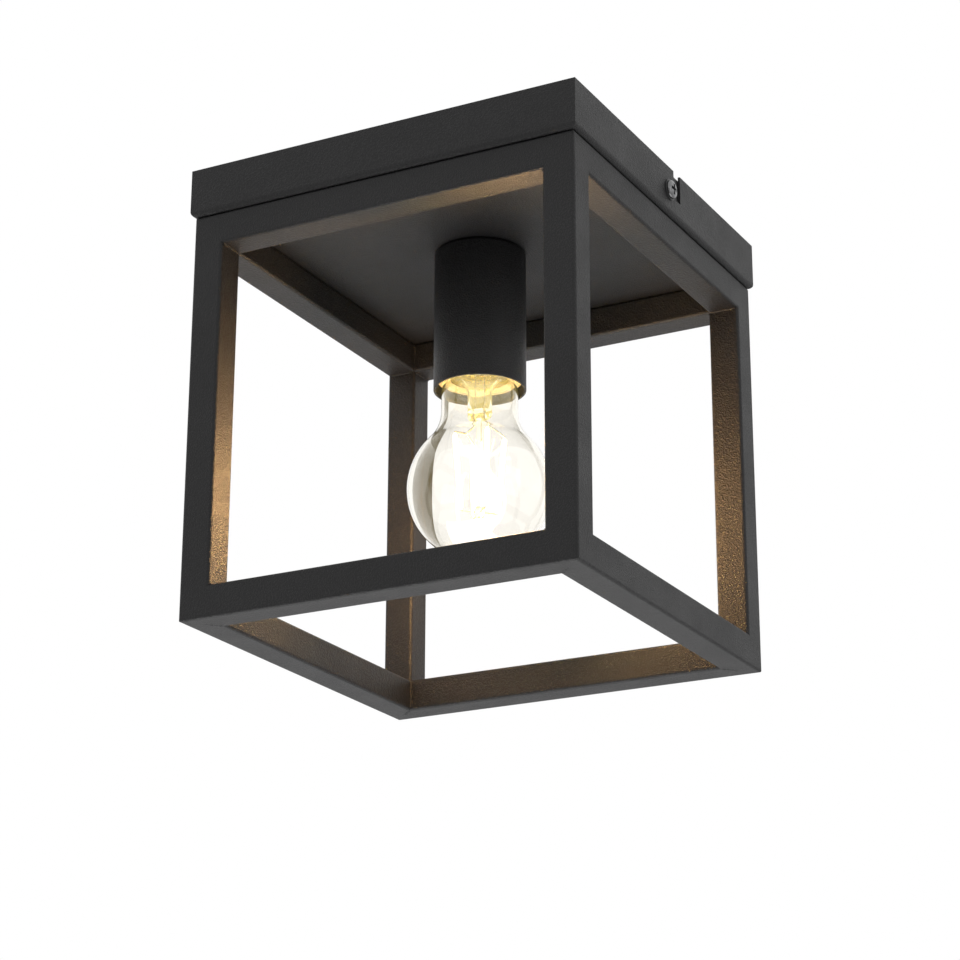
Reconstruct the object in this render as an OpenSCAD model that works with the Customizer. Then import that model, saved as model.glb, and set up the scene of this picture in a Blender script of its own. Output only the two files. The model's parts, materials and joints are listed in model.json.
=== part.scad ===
// Porch ceiling lantern: a sheet-metal canopy on a ceiling bracket, an open cube cage of square
// tube, and a tubular lampholder with a clear filament lamp.
// Millimetres. The origin is the centre of the ceiling face, +Z points up into the ceiling, +X
// points at the right-hand side screw, and everything hangs below z = 0.

/* [Canopy] */
// Outer width of the square canopy
canopy_w = 180; // [150:1:240]
// Height of the canopy
canopy_h = 21.5; // [20:0.5:40]
// Sheet thickness of the canopy
canopy_t = 1; // [0.8:0.1:1.5]
// Outer bend radius along the canopy's lower edges
canopy_bend_r = 2.6; // [1.8:0.1:4]

/* [Cage] */
// How far the cage stands in from the canopy on each side
cage_inset = 1.5; // [0:0.25:6]
// Height of the cage below the canopy
cage_h = 176.5; // [160:0.5:260]
// Outer width of the square tube
tube_w = 14; // [12:0.5:20]
// Wall of the square tube
tube_t = 1; // [0.8:0.1:1.5]
// Outer corner radius of the square tube
tube_r = 1.4; // [0.8:0.1:2.5]
// Distance between the two cage screws on a rail
cage_screw_pitch = 100; // [60:1:110]
// Thread diameter of the cage screws
cage_screw_d = 4; // [3:0.5:5]
// Length of the cage screws under the head
cage_screw_len = 9; // [8:0.5:10]

/* [Ceiling bracket] */
// Width of the bracket bar
bracket_w = 25; // [23:0.5:32]
// Sheet thickness of the bracket
bracket_t = 1.5; // [1.2:0.1:2]
// Depth of the bent-down tabs
tab_h = 16; // [15:0.5:18]
// Outer bend radius between the bar and its tabs
bracket_bend_r = 2.5; // [2.1:0.1:3]
// Distance between the centres of the two ceiling slots
ceiling_slot_pitch = 100; // [80:1:110]
// Width of a ceiling slot
ceiling_slot_w = 5; // [4:0.1:6]
// Length of a ceiling slot, end to end
ceiling_slot_len = 24; // [12:0.5:30]
// Diameter of the cable hole in the bar
cable_hole_d = 14; // [10:0.5:18]

/* [Side screws] */
// Thread diameter of the side screws
side_screw_d = 4; // [3:0.5:5]
// Length of the side screws under the head
side_screw_len = 8; // [7:0.5:12]
// Depth of the side screws below the ceiling
side_screw_z = 10.6; // [9:0.1:11.5]
// Head diameter of the side screws
side_head_d = 8; // [7:0.1:9]
// Head height of the side screws
side_head_h = 2.2; // [1.6:0.1:3.2]
// Outer diameter of the washer under the head
side_washer_d = 9.4; // [9:0.1:11]
// Thickness of the washer under the head
side_washer_t = 0.5; // [0.4:0.1:1]
// Sideways shift that frees the canopy from its side screws
hook_shift = 7.55; // [7:0.05:8]
// Width of the entry notch
notch_w = 6.5; // [6:0.1:7]

/* [Lampholder] */
// Outer diameter of the lampholder sleeve
sleeve_d = 39.5; // [38.5:0.5:46]
// Length of the lampholder sleeve
sleeve_len = 63.2; // [60:0.1:80]
// Wall of the lampholder sleeve
sleeve_t = 1; // [0.6:0.1:1.5]
// Outer radius of the sleeve's shoulder
sleeve_shoulder_r = 1.6; // [1.5:0.1:4]
// Depth of the ceramic core inside the sleeve's mouth
mouth_gap = 4.7; // [2:0.1:8]
// Inner diameter of the threaded shell
socket_d = 26.8; // [26.5:0.1:27]
// Diameter of the hollow nipple
nipple_d = 10; // [8:0.5:10]
// Cable bore of the hollow nipple
nipple_bore_d = 7; // [6:0.5:7.5]
// Distance from the axis to each screw of the bridge
bridge_screw_x = 9.5; // [9.4:0.1:9.8]

/* [Lamp] */
// Widest diameter of the glass
bulb_d = 61; // [56:0.5:70]
// Length of the lamp from its contact to the bottom
bulb_len = 107; // [100:0.5:115]
// Diameter of the glass neck
neck_d = 32.6; // [31:0.1:34]
// Radius of the hollow curve between neck and bulb
neck_blend_r = 20; // [12:0.5:26]
// Thickness of the glass
glass_t = 0.8; // [0.6:0.1:1.2]
// Diameter of the screw cap
cap_d = 26.2; // [26:0.1:26.4]
// Length of the screw cap with its contact
cap_len = 26.5; // [25.5:0.1:28]
// Number of light filaments
filament_count = 4; // [2:2:8]
// Diameter of a light filament
filament_d = 2.2; // [1.6:0.1:3]

/* [Wiring] */
// Diameter of an insulated wire
wire_d = 2.2; // [1.8:0.1:2.4]
// Distance between the poles of the terminal block
pole_pitch = 10; // [10:0.5:12]
// Distance from the lantern's axis to the middle of the terminal block
block_y = 38; // [36:0.5:50]
// Length of the terminal block along its bores
block_len = 20; // [20:0.5:24]

/* [Hidden] */
$fn = 48;

over = 1;            // how far a cutting shape runs past the face it cuts
thread_gap = 0.05;   // radial gap between a screw and its thread
hole_gap = 0.2;      // radial gap of a plain hole round a screw or nipple
slot_gap = 0.3;      // gap each side of a side screw in its hook slot

black_paint = "#2f2f31";
bracket_black = "#1c1c1d";
chrome = "#d5d7da";
zinc = "#b9bcc0";
brass = "#c9a24a";
porcelain = "#ece6d6";
nylon = "#e8e6dc";
clear_glass = [0.86, 0.9, 0.92, 0.35];

// Levels below the ceiling, and half widths
floor_top = canopy_t - canopy_h;
cage_top = -canopy_h;
cage_bottom = cage_top - cage_h;
cage_w = canopy_w - 2 * cage_inset;
rail_y = (cage_w - tube_w) / 2;
post_h = cage_h - 2 * tube_w;
wall_in = canopy_w / 2 - canopy_t;
wall_out = canopy_w / 2;

// Ceiling bracket
tab_corner_r = 4;
collar_d = side_screw_d + 2.4;   // drawn collar that gives the tab its thread length
collar_h = 1.5;
hook_slot_w = side_screw_d + 2 * slot_gap;

// Cage fixing
cage_head_d = 2 * cage_screw_d;
cage_head_h = 0.55 * cage_screw_d;
rivet_d = cage_screw_d + 2;
rivet_flange_d = rivet_d + 1.5;
rivet_len = 9;

// Nipple stack, from the canopy's floor up and down
lock_washer_t = 0.8;
lock_washer_w = 2.6;
nipple_nut_h = 3;
nipple_nut_af = nipple_d + 4;
nipple_top = floor_top + lock_washer_t + nipple_nut_h + 1.5;
bridge_t = 1.5;
bridge_w = 14;
bridge_collar_h = 3;
bridge_top = cage_top - sleeve_t;
bridge_bottom = bridge_top - bridge_t;
nipple_bottom = bridge_bottom - bridge_collar_h - 0.5;

// Lampholder core and what it carries
sleeve_r = sleeve_d / 2;
sleeve_rim = cage_top - sleeve_len;
core_r = sleeve_r - sleeve_t - 0.5;
core_bottom = sleeve_rim + mouth_gap;
cap_edge = core_bottom + 0.8;
tip_z = cap_edge + cap_len;
contact_space = 2.7;
contact_drop = 1.3;              // from the core's floor down to the contact strip's bend
core_floor = tip_z + contact_space;
channel_depth = 16;
channel_w = 7.4;
channel_floor = bridge_bottom - channel_depth;
shell_t = 0.4;
shell_r = socket_d / 2;
shell_top = core_floor - 6;
mouth_chamfer_h = 4;
mouth_chamfer = 2.2;
pocket_r = 7.2;
bridge_screw_d = 3.5;
bridge_head = [6, 2];            // diameter and height of the bridge screws' heads
strip_t = 0.6;
strip_w = 5;
strip_gap = 0.1;
live_strip_y = -10;
shell_strip_y = shell_r + shell_t - strip_t / 2;
holder_terminal = [7, 6.5, 7];
holder_terminal_y = 9;           // inner face of a lampholder terminal
holder_wire_y = holder_terminal_y + 2;
holder_screw_d = 3;
holder_head = [5, 1.5];          // diameter and height of the terminal screws' heads
holder_screw_z = channel_floor + 4.6;

// Lamp
bulb_r = bulb_d / 2;
neck_r = neck_d / 2;
bulb_centre = tip_z - bulb_len + bulb_r;
blend_h = sqrt(pow(bulb_r + neck_blend_r, 2) - pow(neck_r + neck_blend_r, 2));
shoulder_r = 8.8;
shoulder_z = cap_edge - 6.8;
cap_r = cap_d / 2;
cap_t = 0.4;
collar_r = cap_r - cap_t - 0.1;
collar_top = cap_edge + 7.2;
insulator_top = tip_z - 1.5;
insulator_h = 5.2;
lip_depth = 3.7;                 // from the insulator's top down to the cap's turned-in lip
lip_w = 0.25;
lead_d = 0.7;
lead_gap = 0.05;                 // from a lead wire to the end of its filament
stem_r = 5.2;
stem_wall = 0.8;
stem_end = cap_edge - 20;
button_r = 2.6;
button_z = bulb_centre - 10;
filament_top = [11, bulb_centre + 24.5];
filament_end = [8, button_z + 0.5];

// Terminal block, measured up from the canopy's floor
poles = [-1, 0, 1];
block_base_h = 3;
block_axis_h = 6.5;
block_axis_z = floor_top + block_axis_h;
barrel_r = 3.6;
tower_r = 3;
tower_h = 15;
tower_y = 5.5;
insert_r = 2.4;
insert_bore_d = wire_d + 0.8;
insert_len = block_len - 3;
terminal_screw_d = 3;
terminal_head_d = 3.8;
terminal_head_h = 1.5;
terminal_screw_len = 4.5;
stud_d = 3;
stud_flange = [4.4, 0.6];
stud_x = pole_pitch / 2;
block_nut_af = 5.5;
block_nut_h = 2.4;

// Earth point
earth_pos = [-32, 30];
earth_stud_d = 4;
earth_stud_h = 10;
earth_flange = [5.6, 0.7];
lug_t = 0.8;
lug_ring_d = 8;
lug_barrel_r = 1.9;
lug_barrel_len = 6;
earth_washer_t = 0.7;
earth_nut_af = 7;
earth_nut_h = 3.2;
lug_axis_z = floor_top + earth_flange[1] + lug_barrel_r;

// Centre lines of the three wires
wire_sides = 8;
wire_bend = 3;
nipple_side = wire_d / 2 + 0.15;
nipple_out = nipple_top + 4.2;
holder_turn = nipple_bottom - 2.8;
pole_in = block_y - insert_len / 2;
wire_end_y = block_y - 2;
live_path = [
    [0, -holder_wire_y, channel_floor + 1], [0, -holder_wire_y, holder_turn],
    [-nipple_side, 0, holder_turn], [-nipple_side, 0, nipple_out],
    [0, pole_in - 12, block_axis_z], [0, wire_end_y, block_axis_z],
];
neutral_path = [
    [0, holder_wire_y, channel_floor + 1], [0, holder_wire_y, holder_turn],
    [nipple_side, 0, holder_turn], [nipple_side, 0, nipple_out],
    [pole_pitch, pole_in - 12, block_axis_z], [pole_pitch, wire_end_y, block_axis_z],
];
earth_path = [
    [earth_pos.x + lug_ring_d / 2 + 3, earth_pos.y, lug_axis_z],
    [-pole_pitch - 8.5, earth_pos.y, lug_axis_z], [-pole_pitch - 8.5, pole_in - 8, block_axis_z - 1],
    [-pole_pitch, pole_in - 11, block_axis_z], [-pole_pitch, wire_end_y, block_axis_z],
];

// ---- shared shapes ----

// Rounded square, centred
module rounded_square(w, r) {
    square([w - 2 * r, w], center = true);
    square([w, w - 2 * r], center = true);
    for (x = [-1, 1], y = [-1, 1])
        translate([x * (w / 2 - r), y * (w / 2 - r)]) circle(r);
}

// Section of a folded pan: from rise above zero down to h, with its two lower corners rounded
module pan_section(w, h, r, rise = 0) {
    translate([-w / 2, r - h]) square([w, h - r + rise]);
    translate([r - w / 2, -h]) square([w - 2 * r, h]);
    for (x = [-1, 1])
        translate([x * (w / 2 - r), r - h]) circle(r);
}

// Block with four rounded lower edges and sharp upright corners
module pan_block(w, h, r, rise = 0) {
    intersection() {
        rotate([90, 0, 0]) linear_extrude(w, center = true) pan_section(w, h, r, rise);
        rotate([90, 0, 90]) linear_extrude(w, center = true) pan_section(w, h, r, rise);
    }
}

// Flat washer or ring, standing on z = 0
module ring(outer_r, inner_r, h) {
    difference() {
        cylinder(r = outer_r, h = h);
        translate([0, 0, -over]) cylinder(r = inner_r, h = h + 2 * over);
    }
}

// Pan head screw with a cross recess: its head stands on z = 0 and its shank runs down
module pan_screw(d, len, head_d, head_h) {
    edge = 0.6 * head_h;
    difference() {
        union() {
            translate([0, 0, -len]) cylinder(d = d - 2 * thread_gap, h = len);
            rotate_extrude() {
                square([head_d / 2, head_h - edge]);
                square([head_d / 2 - edge, head_h]);
                intersection() {
                    translate([head_d / 2 - edge, head_h - edge]) circle(edge);
                    square([head_d / 2, head_h]);
                }
            }
        }
        for (turn = [0, 90])
            translate([0, 0, head_h]) rotate(turn)
                cube([0.55 * head_d, 0.12 * head_d, 1.1 * head_h], center = true);
    }
}

// Hexagon nut with chamfered corners, standing on z = 0
module hex_nut(af, h, thread_d) {
    corner = af / sqrt(3);
    chamfer = corner - af / 2;
    difference() {
        intersection() {
            cylinder(r = corner, h = h, $fn = 6);
            rotate_extrude() polygon([
                [0, 0], [af / 2, 0], [corner, chamfer / 2],
                [corner, h - chamfer / 2], [af / 2, h], [0, h],
            ]);
        }
        translate([0, 0, -over]) cylinder(d = thread_d, h = h + 2 * over);
    }
}

// Straight round rod from p to q
module rod(p, q, d) {
    v = q - p;
    translate(p) rotate([0, acos(v.z / norm(v)), atan2(v.y, v.x)]) cylinder(d = d, h = norm(v));
}

function unit(v) = v / norm(v);

// A bend at b: a smooth curve that leaves the leg towards a and joins the leg towards c
function bend(a, b, c, size, steps = 6) =
    let (
        u = unit(a - b) * min(size, 0.45 * norm(a - b)),
        w = unit(c - b) * min(size, 0.45 * norm(c - b))
    )
    [for (i = [0 : steps]) let (s = i / steps) b + u * pow(1 - s, 2) + w * pow(s, 2)];

// Centre line with every inner corner bent
function bent_line(p, size) = [
    p[0],
    for (i = [1 : len(p) - 2]) each bend(p[i - 1], p[i], p[i + 1], size),
    p[len(p) - 1],
];

function tangent(p, i) = unit(p[min(i + 1, len(p) - 1)] - p[max(i - 1, 0)]);

// Frames carried along the line with no twist: one side vector and its cross vector per point
function frames(p, side, i = 0) =
    i == len(p) ? [] :
    let (t = tangent(p, i), m = unit(side - (side * t) * t))
    concat([[m, cross(t, m)]], frames(p, m, i + 1));

// Round wire along a centre line
module wire(line, d, first_side) {
    p = bent_line(line, wire_bend);
    f = frames(p, first_side);
    n = wire_sides;
    last = (len(p) - 1) * n;
    polyhedron(
        points = [
            for (i = [0 : len(p) - 1], j = [0 : n - 1]) let (a = 360 * j / n)
                p[i] + (f[i][0] * cos(a) + f[i][1] * sin(a)) * d / 2
        ],
        faces = [
            [for (j = [0 : n - 1]) j],
            for (i = [0 : len(p) - 2], j = [0 : n - 1]) let (k = (j + 1) % n)
                [i * n + j, (i + 1) * n + j, (i + 1) * n + k, i * n + k],
            [for (j = [n - 1 : -1 : 0]) last + j],
        ]
    );
}

// Sheet strip of width w along the X axis, bent through the (y, z) points of its middle line
module bent_strip(points, t, w) {
    p = bent_line(points, 1.5 * t);
    side = [for (i = [0 : len(p) - 1]) let (d = tangent(p, i)) [-d.y, d.x] * t / 2];
    rotate([90, 0, 90]) linear_extrude(w, center = true) polygon([
        for (i = [0 : len(p) - 1]) p[i] + side[i],
        for (i = [len(p) - 1 : -1 : 0]) p[i] - side[i],
    ]);
}

// ---- ceiling bracket and canopy ----

// Slot outline of a given length and width, centred and lying along X
module slot_outline(length, w) {
    square([length - w, w], center = true);
    for (x = [-1, 1]) translate([x * (length - w) / 2, 0]) circle(d = w);
}

module ceiling_bracket() {
    span = 2 * wall_in;
    color(bracket_black) difference() {
        union() {
            difference() {
                intersection() {
                    rotate([90, 0, 0]) linear_extrude(bracket_w, center = true)
                        translate([0, -tab_h]) mirror([0, 1])
                            pan_section(span, tab_h, bracket_bend_r);
                    rotate([90, 0, 90]) linear_extrude(span, center = true)
                        pan_section(bracket_w, tab_h, tab_corner_r);
                }
                rotate([90, 0, 0]) linear_extrude(bracket_w + 2 * over, center = true)
                    translate([0, -tab_h]) mirror([0, 1])
                        pan_section(span - 2 * bracket_t, tab_h - bracket_t,
                                    bracket_bend_r - bracket_t, over);
            }
            for (side = [0, 180]) rotate(side)
                translate([wall_in - bracket_t - collar_h, 0, -side_screw_z]) rotate([0, 90, 0])
                    cylinder(d = collar_d, h = collar_h + bracket_t / 2);
        }
        for (side = [0, 180]) rotate(side)
            translate([wall_in - bracket_t - collar_h - over, 0, -side_screw_z])
                rotate([0, 90, 0]) cylinder(d = side_screw_d, h = collar_h + bracket_t + 2 * over);
        for (x = [-1, 1])
            translate([x * ceiling_slot_pitch / 2, 0, -bracket_t - over])
                linear_extrude(bracket_t + 2 * over) slot_outline(ceiling_slot_len, ceiling_slot_w);
        translate([0, 0, -bracket_t - over]) cylinder(d = cable_hole_d, h = bracket_t + 2 * over);
    }
}

// Hooked slot in a side wall: an entry notch from the rim, and a leg that holds the screw
module hook_slot() {
    leg_z = -side_screw_z - hook_slot_w / 2;
    translate([wall_in - over, 0, 0]) rotate([90, 0, 90])
        linear_extrude(canopy_t + 2 * over) {
            translate([0, -side_screw_z]) circle(d = hook_slot_w);
            translate([0, leg_z]) square([hook_shift, hook_slot_w]);
            translate([hook_shift - notch_w / 2, leg_z]) square([notch_w, over - leg_z]);
        }
}

module canopy() {
    color(black_paint) difference() {
        pan_block(canopy_w, canopy_h, canopy_bend_r);
        pan_block(canopy_w - 2 * canopy_t, canopy_h - canopy_t, canopy_bend_r - canopy_t, over);
        hook_slot();
        mirror([1, 0, 0]) hook_slot();
        translate([0, 0, cage_top - over])
            cylinder(r = nipple_d / 2 + hole_gap, h = canopy_t + 2 * over);
        at_cage_screws() translate([0, 0, cage_top - over])
            cylinder(r = cage_screw_d / 2 + hole_gap, h = canopy_t + 2 * over);
    }
}

// ---- side screws ----

module side_screw() {
    color(chrome) translate([wall_out + side_washer_t, 0, -side_screw_z]) rotate([0, 90, 0])
        pan_screw(side_screw_d, side_screw_len, side_head_d, side_head_h);
}

module side_washer() {
    color("#151515") translate([wall_out, 0, -side_screw_z]) rotate([0, 90, 0])
        ring(side_washer_d / 2, side_screw_d / 2 + hole_gap, side_washer_t);
}

module side_screw_right() { side_screw(); }
module side_screw_left() { rotate(180) side_screw(); }
module side_washer_right() { side_washer(); }
module side_washer_left() { rotate(180) side_washer(); }

// ---- cage ----

module tube_section() {
    difference() {
        rounded_square(tube_w, tube_r);
        rounded_square(tube_w - 2 * tube_t, max(tube_r - tube_t, 0.2));
    }
}

// Front rail with mitred ends, its middle line at z = 0
module mitred_rail() {
    intersection() {
        translate([0, -rail_y, 0]) rotate([90, 0, 90])
            linear_extrude(cage_w, center = true) tube_section();
        translate([0, 0, -tube_w]) linear_extrude(2 * tube_w)
            polygon([[0, 0], [-cage_w, -cage_w], [cage_w, -cage_w]]);
    }
}

module bottom_rail(turn) {
    color(black_paint) rotate(turn) translate([0, 0, cage_bottom + tube_w / 2]) mitred_rail();
}

// A screwed top rail has a countersunk hole under each cage screw
module top_rail(turn, screwed) {
    color(black_paint) rotate(turn) difference() {
        translate([0, 0, cage_top - tube_w / 2]) mitred_rail();
        if (screwed)
            for (x = [-1, 1])
                translate([x * cage_screw_pitch / 2, -rail_y, cage_top]) {
                    translate([0, 0, -tube_t - over]) cylinder(d = rivet_d, h = tube_t + 2 * over);
                    rivet_cone();
                }
    }
}

// Countersunk head of a rivet nut, its flat face at z = 0
module rivet_cone() {
    depth = (rivet_flange_d - rivet_d) / 2;
    translate([0, 0, -depth]) cylinder(d1 = rivet_d, d2 = rivet_flange_d, h = depth);
}

module post(side_x, side_y) {
    color(black_paint) translate([side_x * rail_y, side_y * rail_y, cage_bottom + tube_w])
        linear_extrude(post_h) tube_section();
}

module top_rail_front() { top_rail(0, true); }
module top_rail_right() { top_rail(90, false); }
module top_rail_back() { top_rail(180, true); }
module top_rail_left() { top_rail(270, false); }
module post_front_left() { post(-1, -1); }
module post_front_right() { post(1, -1); }
module post_back_left() { post(-1, 1); }
module post_back_right() { post(1, 1); }
module bottom_rail_front() { bottom_rail(0); }
module bottom_rail_right() { bottom_rail(90); }
module bottom_rail_back() { bottom_rail(180); }
module bottom_rail_left() { bottom_rail(270); }

// Places its children over each cage screw
module at_cage_screws() {
    for (x = [-1, 1], y = [-1, 1])
        translate([x * cage_screw_pitch / 2, y * rail_y, 0]) children();
}

module cage_screws() {
    color(zinc) at_cage_screws() translate([0, 0, floor_top])
        pan_screw(cage_screw_d, cage_screw_len, cage_head_d, cage_head_h);
}

// Rivet nut: countersunk head, plain body, and the bulge that grips under the tube wall
module cage_rivet_nuts() {
    bulge = 2;
    color(zinc) at_cage_screws() translate([0, 0, cage_top]) difference() {
        union() {
            rivet_cone();
            translate([0, 0, -rivet_len]) cylinder(d = rivet_d, h = rivet_len);
            translate([0, 0, -tube_t - bulge]) cylinder(d1 = rivet_d, d2 = rivet_flange_d, h = bulge);
        }
        translate([0, 0, -rivet_len - over]) cylinder(d = cage_screw_d, h = rivet_len + 2 * over);
    }
}

// ---- nipple and lampholder ----

module hollow_nipple() {
    color(zinc) translate([0, 0, nipple_bottom])
        ring(nipple_d / 2 - thread_gap, nipple_bore_d / 2, nipple_top - nipple_bottom);
}

module nipple_nut() {
    color(zinc) translate([0, 0, floor_top + lock_washer_t])
        hex_nut(nipple_nut_af, nipple_nut_h, nipple_d);
}

// Split ring under the nipple nut
module nipple_lock_washer() {
    inner = nipple_d / 2 + hole_gap;
    color(zinc) translate([0, 0, floor_top]) difference() {
        ring(inner + lock_washer_w, inner, lock_washer_t);
        rotate(-60) translate([inner - over, -0.5, -over])
            cube([lock_washer_w + 2 * over, 1, lock_washer_t + 2 * over]);
    }
}

// Right half of a drawn cup's section: closed at the top, open at z = 0
module cup_half_section(r, len, corner) {
    square([r, len - corner]);
    square([r - corner, len]);
    translate([r - corner, len - corner]) circle(corner);
}

module lampholder_sleeve() {
    inner_corner = sleeve_shoulder_r - min(sleeve_t, sleeve_shoulder_r - 0.2);
    color(black_paint) translate([0, 0, sleeve_rim]) rotate_extrude() difference() {
        cup_half_section(sleeve_r, sleeve_len, sleeve_shoulder_r);
        translate([0, -over])
            cup_half_section(sleeve_r - sleeve_t, sleeve_len - sleeve_t + over, inner_corner);
        translate([-over, -over])
            square([nipple_d / 2 + hole_gap + over, sleeve_len + 2 * over]);
    }
}

// Strap that joins the nipple to the ceramic core
module lampholder_bridge() {
    color(zinc) difference() {
        union() {
            translate([0, 0, bridge_bottom]) linear_extrude(bridge_t) intersection() {
                circle(core_r - 1);
                square([2 * sleeve_r, bridge_w], center = true);
            }
            translate([0, 0, bridge_bottom - bridge_collar_h])
                cylinder(r = nipple_d / 2 + 1.5, h = bridge_collar_h + bridge_t);
        }
        translate([0, 0, bridge_bottom - bridge_collar_h - over])
            cylinder(d = nipple_d, h = bridge_collar_h + bridge_t + 2 * over);
        for (x = [-1, 1])
            translate([x * bridge_screw_x, 0, bridge_bottom - over])
                cylinder(d = bridge_screw_d, h = bridge_t + 2 * over);
    }
}

module lampholder_screws() {
    color(zinc) for (x = [-1, 1])
        translate([x * bridge_screw_x, 0, core_floor]) rotate([180, 0, 0])
            pan_screw(bridge_screw_d, bridge_top - core_floor - hole_gap,
                      bridge_head[0], bridge_head[1]);
}

// Ceramic body: wire channel and terminal seats above its floor, the lamp's bore below it
module lampholder_core() {
    color(porcelain) difference() {
        translate([0, 0, core_bottom]) cylinder(r = core_r, h = bridge_bottom - core_bottom);
        // Lamp bore and its flared mouth
        translate([0, 0, core_bottom - over])
            cylinder(r = shell_r + shell_t, h = core_floor - core_bottom + over);
        translate([0, 0, core_bottom])
            cylinder(r1 = shell_r + shell_t + mouth_chamfer, r2 = shell_r + shell_t,
                     h = mouth_chamfer_h);
        // Wire pocket under the nipple, and the channel across both terminals
        translate([0, 0, channel_floor]) cylinder(r = pocket_r, h = channel_depth + over);
        translate([-channel_w / 2, -core_r - over, channel_floor])
            cube([channel_w, 2 * (core_r + over), channel_depth + over]);
        // Screw holes
        for (x = [-1, 1])
            translate([x * bridge_screw_x, 0, core_floor - over])
                cylinder(d = bridge_screw_d, h = bridge_bottom - core_floor + 2 * over);
        // Slots for the two contact strips
        translate([-strip_w / 2 - strip_gap, live_strip_y - strip_t / 2 - strip_gap,
                   core_floor - over])
            cube([strip_w + 2 * strip_gap, strip_t + 2 * strip_gap,
                  channel_floor - core_floor + 2 * over]);
        translate([-strip_w / 2 - strip_gap, shell_strip_y - strip_t / 2 - strip_gap, shell_top])
            cube([strip_w + 2 * strip_gap, strip_t + 2 * strip_gap,
                  channel_floor - shell_top + over]);
    }
}

module lampholder_shell() {
    shell_bottom = core_bottom + mouth_chamfer_h;
    color(brass) translate([0, 0, shell_bottom])
        ring(shell_r + shell_t, shell_r, shell_top - shell_bottom);
}

module centre_contact() {
    leaf_z = tip_z + strip_t / 2;
    color(brass) bent_strip([
        [live_strip_y, channel_floor], [live_strip_y, core_floor - contact_drop],
        [0.6 * live_strip_y, core_floor - contact_drop],
        [-strip_w / 2, leaf_z], [strip_w / 2, leaf_z], [strip_w / 2 + 2, leaf_z + 1],
    ], strip_t, strip_w);
}

module shell_contact() {
    color(brass) translate([-strip_w / 2, shell_strip_y - strip_t / 2, shell_top])
        cube([strip_w, strip_t, channel_floor - shell_top]);
}

module lampholder_terminals() {
    color(brass) for (side = [0, 180]) rotate(side) difference() {
        translate([-holder_terminal.x / 2, holder_terminal_y, channel_floor])
            cube(holder_terminal);
        translate([0, holder_wire_y, channel_floor + 1])
            cylinder(d = wire_d, h = holder_terminal.z);
        translate([0, holder_wire_y, holder_screw_z]) rotate([-90, 0, 0])
            cylinder(d = holder_screw_d, h = holder_terminal.y);
    }
}

module holder_terminal_screws() {
    seat_y = holder_terminal_y + holder_terminal.y;
    color(zinc) for (side = [0, 180]) rotate(side)
        translate([0, seat_y, holder_screw_z]) rotate([-90, 0, 0])
            pan_screw(holder_screw_d, seat_y - holder_wire_y - wire_d / 2 - strip_gap,
                      holder_head[0], holder_head[1]);
}

// ---- terminal block and earth point ----

module at_poles() {
    for (pole = poles) translate([pole * pole_pitch, block_y, floor_top]) children();
}

module terminal_block() {
    saddle = [pole_pitch - 2 * tower_r, 2 * tower_r, block_axis_h + barrel_r];
    color(nylon) difference() {
        union() {
            translate([-1.5 * pole_pitch, block_y - block_len / 2, floor_top])
                cube([3 * pole_pitch, block_len, block_base_h]);
            for (x = [-1, 1])
                translate([x * stud_x - saddle.x / 2 - 1, block_y - saddle.y / 2, floor_top])
                    cube([saddle.x + 2, saddle.y, saddle.z]);
            at_poles() {
                translate([0, 0, block_axis_h]) rotate([90, 0, 0])
                    cylinder(r = barrel_r, h = block_len, center = true);
                for (y = [-1, 1]) translate([0, y * tower_y, block_base_h / 2])
                    cylinder(r = tower_r, h = tower_h - block_base_h / 2);
            }
        }
        at_poles() {
            translate([0, 0, block_axis_h]) rotate([90, 0, 0])
                cylinder(r = insert_r, h = block_len + 2 * over, center = true);
            for (y = [-1, 1]) translate([0, y * tower_y, block_axis_h])
                cylinder(d = terminal_head_d + 0.4, h = tower_h);
        }
        for (x = [-1, 1]) translate([x * stud_x, block_y, floor_top]) {
            translate([0, 0, -over])
                cylinder(d = stud_flange[0] + 0.6, h = over + stud_flange[1] + 0.4);
            translate([0, 0, -over]) cylinder(d = stud_d + 2 * hole_gap, h = tower_h + over);
        }
    }
}

module terminal_inserts() {
    color(brass) at_poles() difference() {
        translate([0, 0, block_axis_h]) rotate([90, 0, 0])
            cylinder(r = insert_r, h = insert_len, center = true);
        translate([0, 0, block_axis_h]) rotate([90, 0, 0])
            cylinder(d = insert_bore_d, h = insert_len + 2 * over, center = true);
        for (y = [-1, 1]) translate([0, y * tower_y, block_axis_h])
            cylinder(d = terminal_screw_d, h = insert_r + over);
    }
}

module terminal_screws() {
    color(zinc) at_poles() for (y = [-1, 1])
        translate([0, y * tower_y, block_axis_h + wire_d / 2 + terminal_screw_len])
            pan_screw(terminal_screw_d, terminal_screw_len, terminal_head_d, terminal_head_h);
}

// Weld stud: a thin flange on the canopy's floor and a threaded shaft
module weld_stud(d, h, flange) {
    cylinder(d = flange[0], h = flange[1]);
    cylinder(d = d - 2 * thread_gap, h = h);
}

module terminal_stud() {
    color(zinc) translate([stud_x, block_y, floor_top]) weld_stud(stud_d, tower_h - 1, stud_flange);
}

module terminal_nut() {
    color(zinc) translate([stud_x, block_y, floor_top + block_axis_h + barrel_r])
        hex_nut(block_nut_af, block_nut_h, stud_d);
}

// Places its children on the earth stud, h above the canopy's floor
module at_earth(h = 0) {
    translate([earth_pos.x, earth_pos.y, floor_top + h]) children();
}

module earth_stud() { color(zinc) at_earth() weld_stud(earth_stud_d, earth_stud_h, earth_flange); }

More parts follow.
